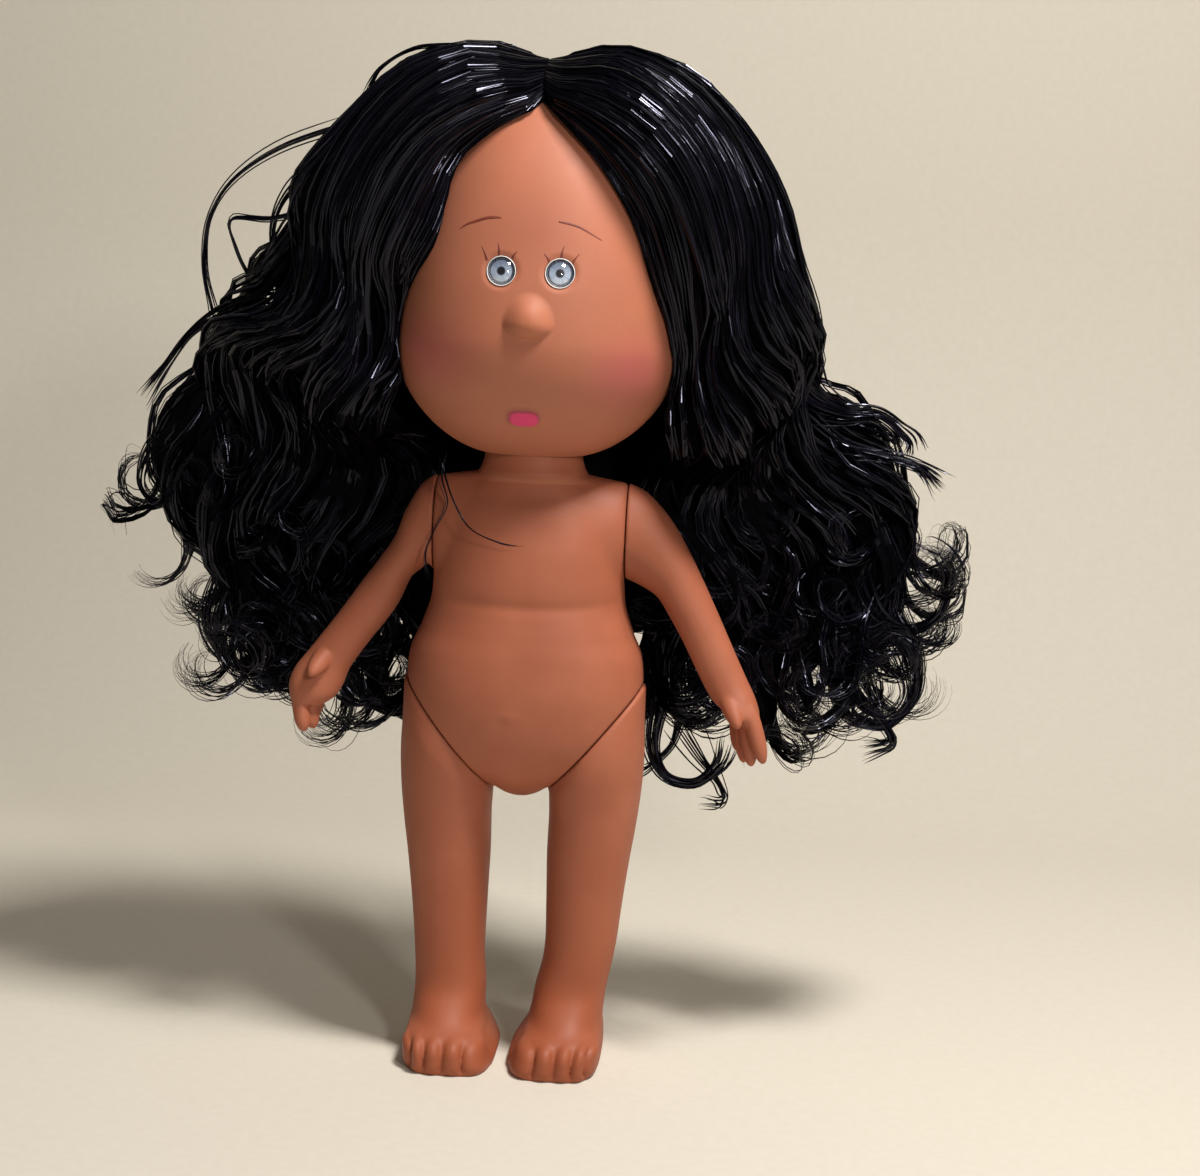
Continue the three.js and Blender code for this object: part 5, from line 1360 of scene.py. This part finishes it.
# Wisps that leave the main fall: spread, number of strands, then path points x, y, z.
WISPS = {
    "loop_high_right": (0.9, 9, ((-54, -4, 276), (-76, 0, 268), (-91, 4, 258), (-99, 8, 246),
        (-101, 12, 232), (-99, 14, 220), (-97, 14, 214))),
    "loop_middle_right": (0.8, 8, ((-60, 0, 266), (-74, 4, 256), (-80, 8, 244), (-79, 12, 230),
        (-77, 12, 224))),
    "loop_low_right": (0.7, 7, ((-68, 4, 250), (-80, 6, 247), (-92, 8, 246), (-91, 10, 237),
        (-86, 12, 228), (-78, 12, 223))),
    "top_right": (0.6, 5, ((-26, -8, 297), (-38, -6, 296), (-48, -4, 290), (-53, -2, 281))),
    "flick_out_right": (1.8, 16, ((-74, 6, 224), (-92, 10, 220), (-104, 14, 213), (-113, 18, 202),
        (-120, 20, 192))),
    "ring_right": (1.2, 10, ((-108, 20, 184), (-118, 20, 176), (-121, 20, 166), (-116, 20, 160),
        (-111, 20, 166))),
    "curl_hem_right": (2.2, 34, ((-92, 22, 140), (-98, 22, 124), (-92, 22, 112), (-80, 22, 108),
        (-72, 22, 112), (-72, 22, 119))),
    "curl_hand_right": (2.2, 34, ((-52, 24, 130), (-56, 23, 116), (-52, 23, 104), (-42, 23, 99),
        (-36, 26, 104))),
    "curl_hand_low_right": (1.8, 26, ((-40, 28, 124), (-46, 27, 110), (-44, 27, 99), (-37, 28, 96))),
    "flick_top_left": (2.4, 36, ((72, 6, 214), (79, 9, 203), (89, 12, 198), (100, 14, 197),
        (108, 15, 191), (109, 15, 187))),
    "flick_low_left": (2.0, 28, ((76, 10, 196), (88, 13, 188), (102, 15, 185), (113, 16, 182),
        (119, 16, 177))),
    "ring_left": (0.8, 8, ((102, 18, 178), (110, 18, 170), (113, 18, 158), (108, 18, 147),
        (104, 18, 141))),
    "curl_out_left": (1.9, 30, ((98, 20, 150), (104, 20, 138), (114, 20, 133), (122, 19, 138),
        (124, 18, 148), (121, 18, 155))),
    "curl_hem_left": (2.2, 34, ((108, 21, 138), (115, 21, 124), (116, 21, 112), (108, 20, 103),
        (98, 20, 105), (96, 20, 112))),
    "curl_end_left": (2.0, 30, ((90, 21, 124), (99, 21, 112), (107, 20, 104), (110, 20, 98),
        (103, 20, 95))),
    "curl_hip_left": (2.0, 30, ((42, 29, 124), (40, 28, 108), (38, 28, 92), (42, 28, 82), (51, 28, 80),
        (58, 28, 86), (60, 28, 93))),
    "chest_edge_right": (0.5, 3, ((-24, -14, 184), (-25.5, -14, 176), (-23.5, -14, 168),
        (-27, -14, 160), (-29, -14.5, 153), (-27.5, -15, 146))),
    "chest_fore_right": (0.35, 2, ((-25, -20, 181), (-21, -22, 170.5), (-15.5, -24, 162.7),
        (-7, -25, 159.2), (0, -25, 158.4))),
    "hem_low_left": (1.6, 10, ((46, 27, 98), (53, 27, 88), (59, 27, 80), (60, 27, 74.5),
        (54, 27, 73.5))),
    "curl_hip_thin_left": (1.0, 10, ((44, 30, 116), (46, 29, 104), (44, 29, 92), (37, 29, 84),
        (33, 30, 82))),
}


def make_wisps(name, side, material):
    """Each wisp's strands run beside its path, spread wide at the root, close in the middle and
    a little apart again at the tip. Those on the chest are finer and aren't held off the skin."""
    lines, widths, idents, radii, free = [], [], [], [], []
    steps = 34
    t = np.linspace(0, 1, steps)
    for title in (title for title in WISPS if title.endswith(name)):
        spread, count, path = WISPS[title]
        on_chest = title.startswith("chest")
        free.append(np.full(count, on_chest))
        centre = smooth_table(path, steps)
        tangent = unit(np.gradient(centre, axis=0))
        across = unit(np.cross(tangent, np.array([0, -1.0, 0])))
        outward = np.cross(across, tangent)
        beside, deeper = RNG.normal(0, 1, (2, count, 1))
        width = 1.8 - 1.3 * smooth_step(0, 0.55, t) + 0.8 * smooth_step(0.7, 1, t)
        breadth = 0.8 * spread * width[None, :]
        line = centre[None] + across[None] * (beside * breadth)[..., None]
        line = line + outward[None] * (0.7 * deeper * breadth)[..., None]
        slide = RNG.uniform(-2.5, 2.5, (count, 1, 1)) * tangent[None]
        lines.append(line + slide + RNG.normal(0, 0.5, (count, 1, 3)) * t[None, :, None] ** 2)
        widths.append(np.broadcast_to(across[None], line.shape))
        idents.append(RNG.random(count))
        fine = CHEST_FINENESS if on_chest else 1.0
        radii.append(taper(steps, fine * RNG.uniform(*WISP_RADII, count), root=0.3))
    line = np.concatenate(lines)
    line = np.where(np.concatenate(free)[:, None, None], line, limit_hair(line, side))
    piece = strand_mesh(f"wisps_{name}", line, np.concatenate(radii), np.concatenate(widths),
                        np.concatenate(idents), material, twist=twists(len(line), steps))
    dress_hair(piece)


# Floor and light

def make_stage():
    """A pale sweep: flat floor, a quarter round and an upright wall behind the doll, all clear
    when seen from their backs."""
    turn = np.linspace(0, math.pi / 2, 24)
    bend, depth, front, tall, wide = 260.0, 520.0, -1400.0, 1500.0, 1800.0
    y = np.concatenate([[front], depth - bend + bend * np.sin(turn), [depth]])
    z = np.concatenate([[0.0], bend - bend * np.cos(turn), [tall]])
    x = np.array([-wide, wide])
    points = np.stack([np.repeat(x[None, :], len(y), 0), np.repeat(y[:, None], 2, 1),
                       np.repeat(z[:, None], 2, 1)], -1).reshape(-1, 3)
    row = np.arange(len(y) - 1)[:, None] * 2
    quads = np.concatenate([row, row + 1, row + 3, row + 2], 1)
    material, tree, shader = new_material("backdrop_paper", 0.9)
    place = object_place(tree)
    colour = mix(tree, noise(tree, place, 300.0, 4.0), (0.60, 0.555, 0.47), (0.66, 0.615, 0.53))
    tree.links.new(colour, shader.inputs["Base Color"])
    rear = add_node(tree, "ShaderNodeNewGeometry").outputs["Backfacing"]
    clear = add_node(tree, "ShaderNodeBsdfTransparent").outputs[0]
    one_sided = add_node(tree, "ShaderNodeMixShader", ((0, rear), (1, shader.outputs[0]), (2, clear)))
    output = next(n for n in tree.nodes if n.type == "OUTPUT_MATERIAL")
    tree.links.new(one_sided.outputs[0], output.inputs["Surface"])
    floor = make_mesh("backdrop", points, [quads], material)


def add_area_light(name, place, target, size, power, colour=(1, 1, 1)):
    """A soft square lamp at place aimed at target, in mm."""
    data = bpy.data.lights.new(name, "AREA")
    data.shape = "SQUARE"
    data.size = size * MM
    data.energy = power
    data.color = colour
    lamp = bpy.data.objects.new(name, data)
    direction = Vector(target) - Vector(place)
    turned = direction.to_track_quat("-Z", "Y").to_matrix().to_4x4()
    lamp.matrix_world = Matrix.Translation(Vector(place) * MM) @ turned
    bpy.context.scene.collection.objects.link(lamp)


def make_light():
    """Key from high at the right, a weaker lamp lower and nearer the camera, and an even world."""
    add_area_light("key", (288, -230, 850), (0, -5, 190), 170, 9.4, (1.0, 0.965, 0.92))
    add_area_light("side", (400, -880, 520), (0, 0, 160), 100, 2.9, (1.0, 0.98, 0.95))
    world = bpy.data.worlds.new("studio")
    bpy.context.scene.world = world
    world.use_nodes = True
    background = world.node_tree.nodes["Background"]
    background.inputs["Color"].default_value = (1.0, 0.99, 0.97, 1.0)
    background.inputs["Strength"].default_value = 0.10


# Making everything

make_camera()
bpy.context.scene.view_settings.view_transform = "Standard"

body_vinyl = vinyl("body_vinyl", BODY_BROWN, BODY_BROWN_DEEP, tints_and_painted_light=(
    # Darker, deeper brown towards the feet.
    ((0.0, 0.0, 0.0), (160.0, 160.0, 90.0), 0.85, (0.315, 0.078, 0.030)),
    # Painted shade on the doll's right flank and the arm beside it, the side turned from the key light.
    ((-34.0, -10.0, 128.0), (17.0, 60.0, 34.0), 0.65, (0.25, 0.076, 0.042)),
))
head_vinyl = vinyl("head_vinyl", FACE_BROWN, FACE_BROWN_DEEP, mouth=MOUTH, tints_and_painted_light=(
    ((-27.0, -26.0, 212.0), (19.0, 26.0, 16.0), 0.80, BLUSH),
    ((27.0, -26.0, 209.0), (19.0, 26.0, 16.0), 0.85, BLUSH),
    # The nose a little more orange, and lighter at its tip as a painted highlight.
    ((0.6, -46.0, 223.0), (9.0, 12.0, 8.0), 0.45, (0.46, 0.155, 0.060)),
    # Painted shade over the brows and the middle of the forehead, in a darker and a little warmer brown.
    ((0.0, -36.0, 247.0), (20.0, 18.0, 17.0), 0.50, (0.33, 0.100, 0.058)),
))
eye_white = plain_material("eye_white", (0.80, 0.80, 0.79), (0.74, 0.74, 0.75), 400.0, 0.18)
lens_clear = lens_material()
paint_brown = plain_material("paint_brown", (0.200, 0.038, 0.017), (0.150, 0.028, 0.014), 500.0, 0.6)
plug_plastic = plain_material("plug_plastic", (0.74, 0.68, 0.59), (0.70, 0.64, 0.55), 200.0, 0.4)
hair_black = hair_material("hair_black", (0.0008, 0.0007, 0.0014), (0.0046, 0.0028, 0.0085), 0.23,
                           Specular_IOR_Level=0.34, Specular_Tint=(0.74, 0.76, 1.0, 1.0))
hair_ribbon = hair_material("hair_ribbon", (0.0007, 0.0006, 0.0012), (0.0014, 0.0010, 0.0026), 0.36,
                            streaks=900.0, Specular_IOR_Level=0.12,
                            Specular_Tint=(0.74, 0.76, 1.0, 1.0))
hair_under = plain_material("hair_under", (0.0016, 0.0014, 0.0020), (0.0024, 0.0020, 0.0030), 900.0,
                            0.8, Specular_IOR_Level=0.05)

make_torso(body_vinyl)
make_head(head_vinyl)
for name, side in SIDES:
    make_leg(name, side, body_vinyl)
    make_arm(name, side, body_vinyl)
make_eyes(eye_white, lens_clear)
make_paint(paint_brown)
for node in ("neck_plug", "shoulder_plug_left", "shoulder_plug_right", "hip_plug_left", "hip_plug_right"):
    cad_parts[node].data.materials.clear()
    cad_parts[node].data.materials.append(plug_plastic)

make_scalp(hair_under)
for name, side in SIDES:
    make_core(name, side, hair_under)
    make_fall(name, side, hair_black, hair_ribbon)
    make_wisps(name, side, hair_black)

make_stage()
make_light()
